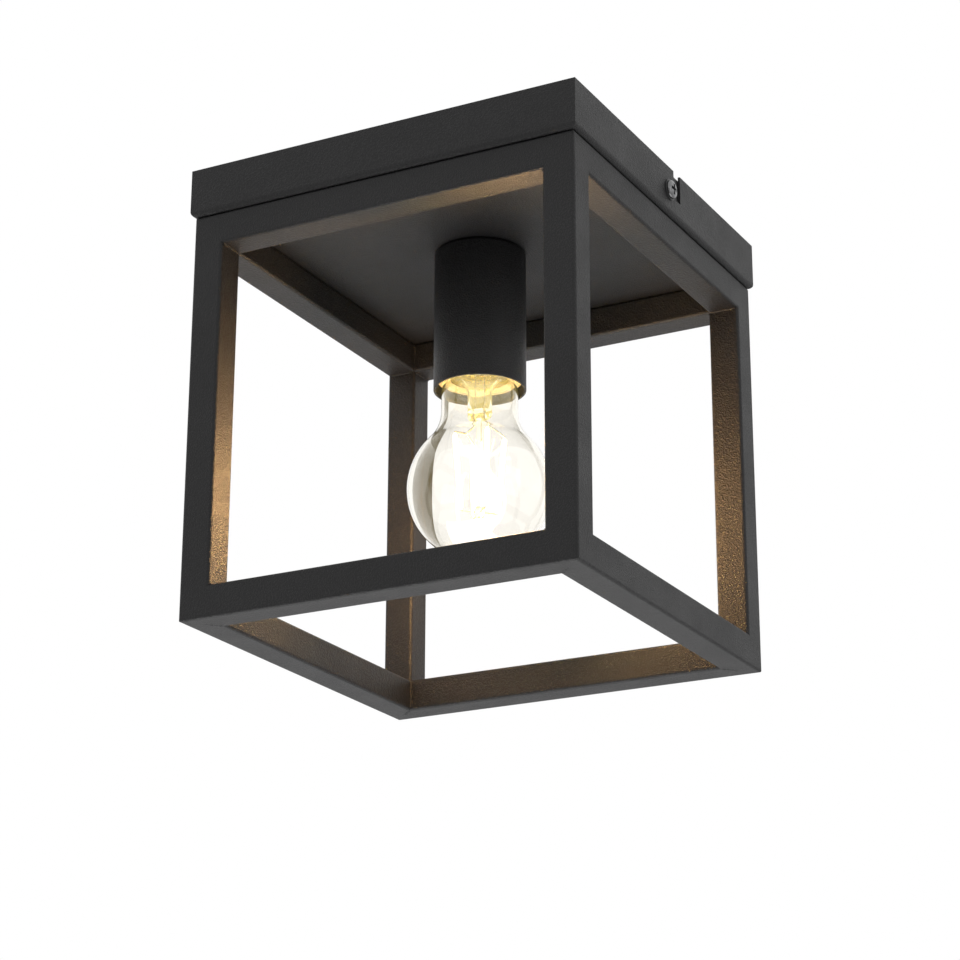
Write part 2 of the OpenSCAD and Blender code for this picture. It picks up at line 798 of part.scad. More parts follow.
// Ring terminal: flat ring, short neck and the barrel that grips the wire
module earth_lug() {
    barrel_x = lug_ring_d / 2 + 0.5;
    color(zinc) at_earth(earth_flange[1]) difference() {
        union() {
            cylinder(d = lug_ring_d, h = lug_t);
            translate([0, -lug_barrel_r, 0]) cube([barrel_x + 1, 2 * lug_barrel_r, lug_t]);
            translate([barrel_x, 0, lug_barrel_r]) rotate([0, 90, 0])
                cylinder(r = lug_barrel_r, h = lug_barrel_len);
        }
        translate([0, 0, -over]) cylinder(r = earth_stud_d / 2 + 0.1, h = lug_t + 2 * over);
        translate([barrel_x + 1, 0, lug_barrel_r]) rotate([0, 90, 0])
            cylinder(d = wire_d, h = lug_barrel_len);
    }
}

// Washer with a toothed edge
module earth_washer() {
    teeth = 12;
    color(zinc) at_earth(earth_flange[1] + lug_t) difference() {
        ring(lug_ring_d / 2 - 0.2, earth_stud_d / 2 + 0.1, earth_washer_t);
        for (i = [0 : teeth - 1]) rotate(360 * i / teeth)
            translate([lug_ring_d / 2, 0, -over])
                cylinder(d = 1, h = earth_washer_t + 2 * over);
    }
}

module earth_nut() {
    color(zinc) at_earth(earth_flange[1] + lug_t + earth_washer_t)
        hex_nut(earth_nut_af, earth_nut_h, earth_stud_d);
}

// ---- wires ----

module live_wire() { color("#6b4326") wire(live_path, wire_d, [1, 0, 0]); }
module neutral_wire() { color("#2f62a8") wire(neutral_path, wire_d, [1, 0, 0]); }
module earth_wire() { color("#6f9a2d") wire(earth_path, wire_d, [0, 0, 1]); }

// ---- lamp ----

// Right half of the glass outline, moved in by g from its outer face
module glass_half_section(g) {
    r = bulb_r - g;
    neck = neck_r - g;
    blend_centre = [neck_r + neck_blend_r, blend_h];
    shoulder_h = shoulder_z - bulb_centre;
    intersection() {
        union() {
            circle(r, $fn = 96);
            difference() {
                polygon([[0, 0], blend_centre, [0, blend_h]]);
                translate(blend_centre) circle(neck_blend_r + g, $fn = 96);
            }
            translate([0, blend_h]) square([neck, shoulder_h - blend_h]);
            intersection() {
                translate([neck_r - shoulder_r, shoulder_h]) circle(shoulder_r - g);
                square([2 * bulb_r, cap_edge - bulb_centre]);
            }
            translate([0, shoulder_h - over])
                square([neck_r - shoulder_r, cap_edge - bulb_centre - shoulder_h + over]);
        }
        translate([0, -bulb_r - over]) square([bulb_r + over, bulb_len]);
    }
    square([collar_r - g, collar_top - bulb_centre]);
}

module bulb_envelope() {
    color(clear_glass) translate([0, 0, bulb_centre]) rotate_extrude($fn = 96) difference() {
        glass_half_section(0);
        glass_half_section(glass_t);
        translate([0, collar_top - bulb_centre - over / 2]) square([collar_r - glass_t, over]);
    }
}

// Glass stem: a flare sealed into the neck, a tube with its pinched end, and a rod with a button
module bulb_stem() {
    flare_r = collar_r - glass_t;
    bore_end = stem_end + 5;
    color(clear_glass) difference() {
        rotate_extrude() {
            polygon([
                [0, stem_end], [3, stem_end], [stem_r, stem_end + 3.5], [stem_r, cap_edge - 7],
                [stem_r + 0.8, cap_edge - 4], [stem_r + 3, cap_edge - 1],
                [flare_r, cap_edge + 1], [flare_r, cap_edge + 2],
                [flare_r - 1, cap_edge + 2], [stem_r + 2.2, cap_edge],
                [stem_r, cap_edge - 3.5], [stem_r - stem_wall, cap_edge - 7],
                [stem_r - stem_wall, bore_end], [0, bore_end],
            ]);
            translate([0, button_z]) square([1.5, stem_end - button_z + over]);
            intersection() {
                translate([0, button_z]) circle(button_r);
                translate([0, button_z - button_r]) square([button_r, 2 * button_r]);
            }
        }
        for (x = [-1, 1])
            translate([x * 2.2, 0, stem_end - over])
                cylinder(d = lead_d + 0.1, h = bore_end - stem_end + 2 * over);
    }
}

// Angle of filament i round the axis
function filament_angle(i) = 360 * (i + 0.5) / filament_count;

// End of filament i, from its [radius, z]
function filament_point(end, i) =
    [end.x * cos(filament_angle(i)), end.x * sin(filament_angle(i)), end.y];

// Two lead wires through the stem, each feeding half of the filaments, and the lower ties
module bulb_wires() {
    fork = [6.5, 0, filament_top.y + 2];
    color(zinc) {
        for (side = [0, 180]) rotate(side) {
            rod([2.2, 0, cap_edge + 4], [2.2, 0, stem_end - 0.5], lead_d);
            translate([2.2, 0, stem_end - 0.5]) sphere(d = lead_d);
            rod([2.2, 0, stem_end - 0.5], fork, lead_d);
            translate(fork) sphere(d = lead_d);
        }
        for (i = [0 : filament_count - 1]) {
            top = filament_point(filament_top, i);
            end = filament_point(filament_end, i);
            rest = unit(top - end) * (lead_d / 2 + lead_gap);
            rod([sign(top.x) * fork.x, 0, fork.z], top + rest, lead_d);
            rod(unit([end.x, end.y, 0]) * button_r + [0, 0, button_z], end - rest, lead_d);
        }
    }
}

module bulb_filaments() {
    color("#ffd873") for (i = [0 : filament_count - 1])
        rod(filament_point(filament_top, i), filament_point(filament_end, i), filament_d);
}

module bulb_cap() {
    lip_z = insulator_top - lip_depth;
    color(zinc) rotate_extrude() polygon([
        [cap_r - cap_t - lip_w, lip_z], [cap_r - cap_t, lip_z], [cap_r, lip_z - 0.5],
        [cap_r, cap_edge], [cap_r - cap_t, cap_edge], [cap_r - cap_t, lip_z - 0.5],
        [cap_r - cap_t - lip_w, lip_z - 0.5],
    ]);
}

module bulb_insulator() {
    edge_r = cap_r - cap_t - lip_w - 0.05;
    color("#18181a") rotate_extrude() polygon([
        [1.1, insulator_top], [5.2, insulator_top], [6.5, insulator_top - 0.7],
        [edge_r - 0.9, insulator_top - 3], [edge_r, insulator_top - lip_depth],
        [edge_r, insulator_top - insulator_h], [1.1, insulator_top - insulator_h],
    ]);
}

// Small driver board in the cap, with its capacitor and rectifier
module bulb_driver() {
    top = insulator_top - insulator_h;
    color("#2f6b45") {
        translate([-8, -0.5, top - 15]) cube([16, 1, 15]);
        translate([3.5, 2.8, top - 13]) cylinder(d = 5, h = 9);
        translate([-6, -2.5, top - 10]) cube([5, 2.2, 5]);
    }
}

module bulb_contact() {
    color(brass) rotate_extrude() polygon([
        [0, tip_z], [2.6, tip_z], [4.1, tip_z - 0.5], [4.6, tip_z - 1.1], [4.6, insulator_top],
        [1, insulator_top], [1, insulator_top - insulator_h], [0, insulator_top - insulator_h],
    ]);
}

ceiling_bracket();
canopy();
side_screw_right();
side_screw_left();
side_washer_right();
side_washer_left();
top_rail_front();
top_rail_right();
top_rail_back();
top_rail_left();
post_front_left();
post_front_right();
post_back_left();
post_back_right();
bottom_rail_front();
bottom_rail_right();
bottom_rail_back();
bottom_rail_left();
cage_screws();
cage_rivet_nuts();
hollow_nipple();
nipple_nut();
nipple_lock_washer();
lampholder_sleeve();
lampholder_bridge();
lampholder_core();
lampholder_screws();
lampholder_shell();
lampholder_terminals();
holder_terminal_screws();
centre_contact();
shell_contact();
terminal_block();
terminal_inserts();
terminal_screws();
terminal_stud();
terminal_nut();
earth_stud();
earth_lug();
earth_washer();
earth_nut();
live_wire();
neutral_wire();
earth_wire();
bulb_envelope();
bulb_stem();
bulb_wires();
bulb_filaments();
bulb_cap();
bulb_insulator();
bulb_driver();
bulb_contact();
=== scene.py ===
"""Porch ceiling lantern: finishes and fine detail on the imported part.

Run as a script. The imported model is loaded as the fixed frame, then each operator makes one
piece or group of pieces, and the last one sets the stage.
"""

import json
import math

import bmesh
import bpy
from mathutils import Matrix, Vector


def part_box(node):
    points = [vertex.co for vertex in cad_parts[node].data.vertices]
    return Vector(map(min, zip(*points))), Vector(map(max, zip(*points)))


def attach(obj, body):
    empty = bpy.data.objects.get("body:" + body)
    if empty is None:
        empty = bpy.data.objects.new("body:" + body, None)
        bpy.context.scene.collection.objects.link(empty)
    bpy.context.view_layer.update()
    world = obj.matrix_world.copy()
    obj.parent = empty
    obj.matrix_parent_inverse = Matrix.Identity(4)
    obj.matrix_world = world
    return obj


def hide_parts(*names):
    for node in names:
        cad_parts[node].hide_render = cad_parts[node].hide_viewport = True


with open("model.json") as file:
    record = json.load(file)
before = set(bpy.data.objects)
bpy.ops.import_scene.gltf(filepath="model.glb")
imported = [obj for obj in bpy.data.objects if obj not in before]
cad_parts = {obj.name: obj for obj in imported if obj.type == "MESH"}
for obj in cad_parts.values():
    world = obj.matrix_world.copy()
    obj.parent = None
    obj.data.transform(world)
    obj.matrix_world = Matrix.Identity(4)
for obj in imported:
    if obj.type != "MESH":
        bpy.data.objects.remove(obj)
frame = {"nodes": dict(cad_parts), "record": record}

bl_info = {
    "name": "Porch ceiling lantern",
    "version": (1, 0, 0),
    "blender": (4, 5, 0),
    "location": "3D Viewport > Sidebar > Lantern",
    "description": "Finishes the canopy, cage, lampholder, wiring and lamp of a porch ceiling lantern",
    "category": "Object",
}

MM = 0.001
TURN = 2 * math.pi
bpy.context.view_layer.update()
BODY_OF = {
    node: body
    for body, nodes in frame["record"]["behaviour"]["bodies"].items()
    for node in nodes
}

# Levels and distances in millimetres; the ceiling is z = 0
PAN_FLOOR = -20.5
TOP_RAIL_Z = (-21.5, -35.5)
BOTTOM_RAIL_Z = (-184.0, -198.0)
RAIL_INNER = 74.5
RAIL_OUTER = 88.5
RAIL_LINE = 81.5
TUBE_CORNER = 1.4
CORNERS = ((-1, -1), (-1, 1), (1, -1), (1, 1))
SCREW_PITCH_X = 100.0
SIDE_SCREW = (90.0, -10.6)
BLOCK_Y = 38.0
POLE_PITCH = 10.0
CLAMP_PITCH = 11.0
CLAMP_TOP = -8.4
EARTH = (-32.0, 30.0)
WIRE_R = 1.08
WIRE_BEND = 3.0
BRIDGE_SCREW = (9.5, -50.0)
SLEEVE_R = 19.75
SLEEVE_TOP = TOP_RAIL_Z[0]
SLEEVE_RIM = -84.7
NIPPLE_Z = (-27.5, -15.2)
SHELL_Z = (-75.9, -56.1)
CAP_EDGE = -79.2
CAP_TOP = -59.4
CAP_THREAD_PITCH = 3.629
COLLAR_TOP = -72.0
GLASS_T = 0.8
BULB_CENTRE = -129.2
BULB_R = 30.5
NECK_R = 16.3
NECK_BLEND = 20.0
SHOULDER_R = 8.8
STEM_END = -99.2
STEM_BORE_END = -94.2
BUTTON_Z = -139.2
BUTTON_R = 2.6
FILAMENT_TOP = (11.0, -104.7)
FILAMENT_END = (8.0, -138.7)

# Lamp's own lights in metres: distance from the axis and level
SIDE_LIGHT = (0.0125, -0.122)
DOWN_LIGHT = (0.0, -0.145)

# Beads that the grinding has left, in metres
GROUND_BEAD = {"Bead radius": 0.0012, "Ripple": 0.22, "Ripple pitch": 0.0019}

# How far edges are rounded, in metres
THIN_EDGE = 0.0001
STAMPED_EDGE = 0.00012
NUT_EDGE = 0.00015
SOFT_EDGE = 0.0002
GLAZED_EDGE = 0.00035

# Fasteners in millimetres: (thread, pitch, length, head width, head height)
SIDE_SCREW_SIZE = (4.0, 0.7, 8.0, 8.0, 1.7)
CAGE_SCREW_SIZE = (4.0, 0.7, 9.0, 8.0, 2.2)
BRIDGE_SCREW_SIZE = (3.5, 0.6, 27.3, 6.0, 2.0)
HOLDER_SCREW_SIZE = (3.0, 0.5, 3.8, 5.0, 1.5)
CLAMP_SCREW_SIZE = (3.0, 0.5, 4.5, 3.8, 1.5)

# Camera: degrees of azimuth, elevation and roll; metres from the point it turns about
CAMERA_ANGLES = (28.14, -20.24, 0.17)
CAMERA_DISTANCE = 1.1198
CAMERA_AIM = (0.0, 0.0, -0.110)
CAMERA_SHIFT = (0.0003, -0.0345)


# ---- sizes and colours that a user would change ----

COLOUR = {"subtype": "COLOR", "size": 3, "min": 0.0, "max": 1.0}
LENGTH = {"unit": "LENGTH", "subtype": "DISTANCE", "precision": 6}
POWER = {"unit": "POWER", "subtype": "POWER", "min": 0.0}


class LanternPaintSettings(bpy.types.PropertyGroup):
    """Powder coat of the canopy, cage, sleeve and bracket."""

    colour: bpy.props.FloatVectorProperty(
        name="Paint", description="Colour of the powder coat",
        default=(0.0085, 0.0083, 0.0087), **COLOUR
    )
    roughness: bpy.props.FloatProperty(
        name="Roughness", description="How matt the powder coat is",
        default=0.46, min=0.2, max=0.9, subtype="FACTOR"
    )
    gloss_ior: bpy.props.FloatProperty(
        name="Gloss IOR", description="Refraction of the coat, which sets how strongly it mirrors",
        default=1.36, min=1.2, max=1.6
    )
    grain_size: bpy.props.FloatProperty(
        name="Grain size", description="Width of one grain of the coat's texture",
        default=0.00065, min=0.0002, max=0.003, **LENGTH
    )
    grain_depth: bpy.props.FloatProperty(
        name="Grain depth", description="Height of the coat's texture",
        default=0.00015, min=0.0, max=0.0003, **LENGTH
    )
    edge: bpy.props.FloatProperty(
        name="Edge", description="How far the coat rounds a cut edge of the sheet",
        default=0.00025, min=0.00005, max=0.0005, **LENGTH
    )


class LanternWeldSettings(bpy.types.PropertyGroup):
    """Weld seams of the cage."""

    bead_radius: bpy.props.FloatProperty(
        name="Bead radius", description="Radius of a fillet weld in an inner corner of the cage",
        default=0.00048, min=0.0001, max=0.002, **LENGTH
    )
    ripple: bpy.props.FloatProperty(
        name="Ripple", description="How much the bead swells at each ripple",
        default=0.14, min=0.0, max=0.6, subtype="FACTOR"
    )
    ripple_pitch: bpy.props.FloatProperty(
        name="Ripple pitch", description="Distance between two ripples of a bead",
        default=0.0011, min=0.0003, max=0.005, **LENGTH
    )
    seed: bpy.props.IntProperty(
        name="Seed", description="Fixed seed of the beads' unevenness",
        default=7, min=0, max=100
    )


class LanternLampSettings(bpy.types.PropertyGroup):
    """Filament lamp and its light."""

    glow_colour: bpy.props.FloatVectorProperty(
        name="Light", description="Colour of the light that the lamp throws on the cage",
        default=(1.0, 0.545, 0.23), **COLOUR
    )
    side_power: bpy.props.FloatProperty(
        name="Side power", description="Power that the filaments throw sideways, each",
        default=0.2, max=20.0, **POWER
    )
    down_power: bpy.props.FloatProperty(
        name="Down power", description="Power that the filaments throw down together",
        default=0.16, max=20.0, **POWER
    )
    filament_strength: bpy.props.FloatProperty(
        name="Filament strength", description="Brightness of the filaments' own surface",
        default=70.0, min=0.0, max=2000.0
    )
    # Painted glow: strength of the warm emission painted on the glass near the stem, in place of light
    # scattered in it
    painted_glass_glow: bpy.props.FloatProperty(
        name="Painted glass glow",
        description="How much the glass nearest the filaments shines with their light",
        default=0.16, min=0.0, max=2.0
    )
    # Colour of the painted glow on the glass
    painted_glow_colour: bpy.props.FloatVectorProperty(
        name="Painted glow", description="Colour of the light caught in the glass",
        default=(1.0, 0.8, 0.28), **COLOUR
    )
    glass_ior: bpy.props.FloatProperty(
        name="Glass IOR", description="Refraction of the lamp's glass",
        default=1.5, min=1.3, max=1.7
    )


class LanternStageSettings(bpy.types.PropertyGroup):
    """Floor, studio light and camera."""

    floor_depth: bpy.props.FloatProperty(
        name="Floor depth", description="Distance from the ceiling down to the floor",
        default=1.35, min=0.4, max=3.0, **LENGTH
    )
    room_light: bpy.props.FloatProperty(
        name="Room light", description="Strength of the even light from all sides",
        default=0.85, min=0.0, max=1.0
    )
    softbox_power: bpy.props.FloatProperty(
        name="Softbox power", description="Power of each large soft studio lamp",
        default=5.0, max=200.0, **POWER
    )
    lens: bpy.props.FloatProperty(
        name="Lens", description="Focal length of the camera in millimetres",
        default=99.69, min=20.0, max=300.0
    )


# ---- shells: (points in millimetres, faces) ----


def arc(centre, radius, start, end, steps):
    """Points of an arc in an (r, z) outline, its angles in degrees."""
    turns = [math.radians(start + (end - start) * i / steps) for i in range(steps + 1)]
    return [(centre[0] + radius * math.cos(t), centre[1] + radius * math.sin(t)) for t in turns]


def band(low, high):
    """Faces between two rings of points. A ring may be a single point on the axis."""
    count = max(len(low), len(high))
    faces = []
    for k in range(count if count > 1 else 0):
        n = (k + 1) % count
        if len(low) == 1:
            faces.append((low[0], high[n], high[k]))
        elif len(high) == 1:
            faces.append((low[k], low[n], high[0]))
        else:
            faces.append((low[k], low[n], high[n], high[k]))
    return faces


def lathe(outline, segments):
    """Closed shell turned from an (r, z) outline, which closes on itself or on the axis.

    r is a number, or a function of the turn.
    """
    points, rings, faces = [], [], []
    for r, z in outline:
        count = 1 if r == 0 else segments
        rings.append(range(len(points), len(points) + count))
        for k in range(count):
            turn = TURN * k / segments
            radius = r(turn) if callable(r) else r
            points.append((radius * math.cos(turn), radius * math.sin(turn), z))
    for low, high in zip(rings, rings[1:] + rings[:1]):
        faces += band(low, high)
    return points, faces


def ridge(phase):
    """Section of a cut metric thread over one pitch, from root 0 to crest 1."""
    return min(1.0, max(0.0, 1.7 * (1 - abs(2 * phase - 1)) - 0.2))


def roll(phase):
    """Section of a rolled lamp thread over one pitch."""
    return 0.5 - 0.5 * math.cos(TURN * phase)


def shell_roll(phase):
    """Section of the shell's thread: its crest stands in the groove of the lamp's thread."""
    return 1.0 - roll(phase)


def threaded(start, end, root, crest, pitch, steps, section=ridge):
    """Outline rows of a right-handed thread between two levels, fading out at both ends."""
    count = round(abs(end - start) / pitch * steps)
    fade = steps / 2
    rows = []
    for i in range(count + 1):
        z = start + (end - start) * i / count
        grip = min(1.0, i / fade, (count - i) / fade)

        def radius(turn, z=z, grip=grip):
            return root + (crest - root) * grip * section((z / pitch - turn / TURN) % 1)

        rows.append((radius, z))
    return rows


def sweep(path, radius, sides, side=(1, 0, 0)):
    """Closed round tube along a path. radius is one number, or one for each point."""
    radii = radius if isinstance(radius, list) else [radius] * len(path)
    across = Vector(side)
    points, rings, faces = [], [], []
    for i, centre in enumerate(path):
        along = (path[min(i + 1, len(path) - 1)] - path[max(i - 1, 0)]).normalized()
        across = (across - along * across.dot(along)).normalized()
        other = along.cross(across)
        rings.append(range(i * sides, (i + 1) * sides))
        for k in range(sides):
            turn = TURN * k / sides
            points.append(centre + (across * math.cos(turn) + other * math.sin(turn)) * radii[i])
    for low, high in zip(rings, rings[1:]):
        faces += band(low, high)
    return points, [*faces, tuple(reversed(rings[0])), tuple(rings[-1])]


def bent(points, size):
    """The path with each inner corner bent to a smooth curve."""
    points = [Vector(p) for p in points]
    path = [points[0]]
    for before, corner, after in zip(points, points[1:], points[2:]):
        back = (before - corner).normalized() * min(size, 0.45 * (before - corner).length)
        on = (after - corner).normalized() * min(size, 0.45 * (after - corner).length)
        for i in range(7):
            s = i / 6
            path.append(corner + back * (1 - s) ** 2 + on * s**2)
    path.append(points[-1])
    return path


def fine(points, step):
    """The path with extra points, so that none lie further apart than step."""
    path = [points[0]]
    for a, b in zip(points, points[1:]):
        count = max(1, math.ceil((b - a).length / step))
        path += [a.lerp(b, i / count) for i in range(1, count + 1)]
    return path


def prism(ring, low, high):
    """Closed block between two levels over a ring of (x, y) points."""
    count = len(ring)
    points = [(x, y, z) for z in (low, high) for x, y in ring]
    under, over = range(count), range(count, 2 * count)
    return points, [tuple(reversed(under)), tuple(over), *band(under, over)]


def tapered_block(top, bottom, high, low):
    """Block whose (x, y) size goes from top at z high to bottom at z low."""
    points, faces = prism([(-1, -1), (1, -1), (1, 1), (-1, 1)], low, high)
    sizes = {low: bottom, high: top}
    return [(x * sizes[z][0] / 2, y * sizes[z][1] / 2, z) for x, y, z in points], faces


def placed(shell, matrix):
    """The shell turned and moved by a matrix whose move is in millimetres."""
    points, faces = shell
    return [matrix @ Vector(p) for p in points], faces


# ---- meshes in metres ----


def outward(shell):
    """A builder that holds one shell, doubles merged and faces outwards."""
    points, faces = shell
    builder = bmesh.new()
    corners = [builder.verts.new(Vector(p) * MM) for p in points]
    for face in faces:
        builder.faces.new([corners[i] for i in face])
    bmesh.ops.remove_doubles(builder, verts=builder.verts, dist=1e-7)
    bmesh.ops.recalc_face_normals(builder, faces=builder.faces)
    return builder


def built(builder, name):
    """The mesh that a builder holds. The builder is freed."""
    mesh = bpy.data.meshes.new(name)
    builder.to_mesh(mesh)
    builder.free()
    return mesh


def joined(name, meshes):
    """One mesh in place of several."""
    whole = bmesh.new()
    for mesh in meshes:
        whole.from_mesh(mesh)
        bpy.data.meshes.remove(mesh)
    return softened(built(whole, name))


def softened(mesh, angle=33.0):
    """Smooth shading, with sharp edges where faces meet at more than angle."""
    mesh.shade_smooth()
    mesh.set_sharp_from_angle(angle=math.radians(angle))
    return mesh


def mesh_of(name, *shells):
    """One mesh from shells."""
    return joined(name, [built(outward(shell), "shell") for shell in shells])


def linked(name, data):
    """A new object in the scene."""
    obj = bpy.data.objects.new(name, data)
    bpy.context.scene.collection.objects.link(obj)
    return obj


def plain(obj):
    """The plain mesh that an object's modifiers make. The object is removed."""
    graph = bpy.context.evaluated_depsgraph_get()
    mesh = bpy.data.meshes.new_from_object(obj.evaluated_get(graph))
    bpy.data.objects.remove(obj)
    return mesh


def modified(mesh, *modifiers):
    """The plain mesh that (kind, settings) modifiers make."""
    obj = linked("work", mesh)
    for kind, settings in modifiers:
        modifier = obj.modifiers.new(kind, kind)
        for setting, value in settings.items():
            setattr(modifier, setting, value)
    result = plain(obj)
    bpy.data.meshes.remove(mesh)
    return result


def cut(mesh, *shells, operation="DIFFERENCE"):
    """The mesh with each shell cut out of it in turn, or only what lies in the shell."""
    for shell in shells:
        cutter = linked("cutter", mesh_of("cutter", shell))
        settings = {"operation": operation, "solver": "EXACT", "object": cutter}
        mesh = modified(mesh, ("BOOLEAN", settings))
        bpy.data.objects.remove(cutter)
    return softened(mesh)


def merged_copy(node):
    """A copy of a CAD node with its loose triangles merged into plain faces."""
    builder = bmesh.new()
    builder.from_mesh(frame["nodes"][node].data)
    bmesh.ops.remove_doubles(builder, verts=builder.verts, dist=1e-6)
    bmesh.ops.dissolve_limit(
        builder, angle_limit=math.radians(0.3), verts=builder.verts, edges=builder.edges
    )
    return softened(built(builder, node))


def eased(node, edge, steps=2):
    """A copy of a CAD node with every sharp edge rounded by edge, in metres."""
    rounding = {
        "width": edge,
        "segments": steps,
        "limit_method": "ANGLE",
        "angle_limit": math.radians(35),
        "miter_outer": "MITER_ARC",
    }
    shading = {"keep_sharp": False, "weight": 80}
    return modified(merged_copy(node), ("BEVEL", rounding), ("WEIGHTED_NORMAL", shading))


def finished(mesh, how, slot, *nodes):
    """Put a mesh on the body of its CAD nodes, which it stands for."""
    name = f"{nodes[0]}_{how}"
    mesh.name = name
    mesh.materials.clear()
    mesh.materials.append(finish(slot))
    obj = linked(name, mesh)
    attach(obj, BODY_OF[nodes[0]])
    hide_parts(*nodes)


# ---- Geometry Nodes trees ----


def new_tree(name, *sockets):
    """A tree with a geometry in and out, and named inputs of (name, kind, default)."""
    tree = bpy.data.node_groups.new(name, "GeometryNodeTree")
    interface = tree.interface
    interface.new_socket("Geometry", in_out="INPUT", socket_type="NodeSocketGeometry")
    for label, kind, default in sockets:
        socket = interface.new_socket(label, in_out="INPUT", socket_type=f"NodeSocket{kind}")
        if default is not None:
            socket.default_value = default
    interface.new_socket("Geometry", in_out="OUTPUT", socket_type="NodeSocketGeometry")
    return tree, tree.nodes.new("NodeGroupInput").outputs, tree.nodes.new("NodeGroupOutput")


def set_sockets(tree, node, sockets):
    """Set each socket of a node to a value, or link it from a socket."""
    for label, value in sockets.items():
        if isinstance(value, bpy.types.NodeSocket):
            tree.links.new(value, node.inputs[label])
        else:
            node.inputs[label].default_value = value


def add_node(tree, kind, sockets=None, **settings):
    """A node with its settings and sockets."""
    node = tree.nodes.new(kind)
    for setting, value in settings.items():
        setattr(node, setting, value)
    set_sockets(tree, node, sockets or {})
    return node


def maths(tree, operation, a, b=0.0):
    """The result of a Math node."""
    return add_node(tree, "ShaderNodeMath", {0: a, 1: b}, operation=operation).outputs[0]


def ending(tree, made, given, out):
    """The tree with Realize Instances, Set Material and its output put after its last node."""
    real = add_node(tree, "GeometryNodeRealizeInstances", {"Geometry": made.outputs[0]})
    sockets = {"Geometry": real.outputs[0], "Material": given["Material"]}
    coated = add_node(tree, "GeometryNodeSetMaterial", sockets)
    tree.links.new(coated.outputs[0], out.inputs[0])
    return tree


def fastener_grid_tree():
    """Rows and columns of one fastener about a centre."""
    tree, given, out = new_tree(
        "Fastener grid",
        ("Fastener", "Object", None),
        ("Columns", "Int", 2),
        ("Rows", "Int", 2),
        ("Column spacing", "Float", 0.1),
        ("Row spacing", "Float", 0.1),
        ("Centre", "Vector", (0.0, 0.0, 0.0)),
        ("Material", "Material", None),
    )
    sockets = {}
    for way, side in (("Column", "X"), ("Row", "Y")):
        gaps = maths(tree, "SUBTRACT", given[f"{way}s"], 1.0)
        sockets[f"Size {side}"] = maths(tree, "MULTIPLY", given[f"{way} spacing"], gaps)
        sockets[f"Vertices {side}"] = given[f"{way}s"]
    grid = add_node(tree, "GeometryNodeMeshGrid", sockets)
    fastener = add_node(tree, "GeometryNodeObjectInfo", {"Object": given["Fastener"]})
    sockets = {"Points": grid.outputs["Mesh"], "Instance": fastener.outputs["Geometry"]}
    copies = add_node(tree, "GeometryNodeInstanceOnPoints", sockets)
    sockets = {"Geometry": copies.outputs[0], "Translation": given["Centre"]}
    moved = add_node(tree, "GeometryNodeTransform", sockets)
    return ending(tree, moved, given, out)


def ring_tree():
    """Copies of one item, evenly turned about the lantern's axis."""
    tree, given, out = new_tree(
        "Items round the axis",
        ("Item", "Object", None),
        ("Count", "Int", 4),
        ("Start angle", "Float", 0.0),
        ("Material", "Material", None),
    )
    points = add_node(tree, "GeometryNodePoints", {"Count": given["Count"]})
    item = add_node(tree, "GeometryNodeObjectInfo", {"Object": given["Item"]})
    index = add_node(tree, "GeometryNodeInputIndex").outputs[0]
    step = maths(tree, "DIVIDE", TURN, given["Count"])
    angle = maths(tree, "ADD", maths(tree, "MULTIPLY", index, step), given["Start angle"])
    turn = add_node(tree, "ShaderNodeCombineXYZ", {"Z": angle})
    sockets = {
        "Points": points.outputs[0],
        "Instance": item.outputs["Geometry"],
        "Rotation": turn.outputs[0],
    }
    copies = add_node(tree, "GeometryNodeInstanceOnPoints", sockets)
    return ending(tree, copies, given, out)


def weld_bead_tree():
    """Rippled round beads along the edges of a wire mesh."""
    tree, given, out = new_tree(
        "Weld beads",
        ("Bead radius", "Float", 0.0007),
        ("Ripple", "Float", 0.14),
        ("Ripple pitch", "Float", 0.0011),
        ("Step", "Float", 0.00025),
        ("Seed", "Int", 7),
        ("Material", "Material", None),
    )
    lines = add_node(tree, "GeometryNodeMeshToCurve", {"Mesh": given["Geometry"]})
    sockets = {"Curve": lines.outputs[0], "Length": given["Step"]}
    lines = add_node(tree, "GeometryNodeResampleCurve", sockets, mode="LENGTH")
    run = add_node(tree, "GeometryNodeSplineParameter").outputs["Length"]
    turns = maths(tree, "DIVIDE", run, given["Ripple pitch"])
    wave = maths(tree, "ABSOLUTE", maths(tree, "SINE", maths(tree, "MULTIPLY", turns, math.pi)))
    sockets = {"W": given["Seed"], "Scale": 420.0, "Detail": 2.0}
    uneven = add_node(tree, "ShaderNodeTexNoise", sockets, noise_dimensions="4D").outputs["Fac"]
    width = maths(tree, "ADD", maths(tree, "MULTIPLY", uneven, 0.5), 0.7)
    swell = maths(tree, "ADD", maths(tree, "MULTIPLY", wave, given["Ripple"]), width)
    sockets = {"Resolution": 12, "Radius": given["Bead radius"]}
    ring = add_node(tree, "GeometryNodeCurvePrimitiveCircle", sockets)
    sockets = {
        "Curve": lines.outputs[0],
        "Profile Curve": ring.outputs["Curve"],
        "Scale": swell,
        "Fill Caps": True,
    }
    bead = add_node(tree, "GeometryNodeCurveToMesh", sockets)
    return ending(tree, bead, given, out)


def grown(tree, values, base=None):
    """The plain mesh that a tree makes from its named inputs."""
    holder = linked("holder", base or bpy.data.meshes.new("holder"))
    modifier = holder.modifiers.new(tree.name, "NODES")
    modifier.node_group = tree
    for item in tree.interface.items_tree:
        if item.in_out == "INPUT" and item.name in values:
            modifier[item.identifier] = values[item.name]
    mesh = plain(holder)
    if not mesh.polygons:
        raise RuntimeError(f"the tree {tree.name} made no faces")
    return softened(mesh)


def repeated(tree, role, mesh, values):
    """The mesh repeated by a tree, which takes it as the object input named role."""
    item = linked("item", mesh)
    result = grown(tree, {**values, role: item})
    bpy.data.objects.remove(item)
    return result


# ---- materials: each recipe gives the sockets of a tree's shader ----


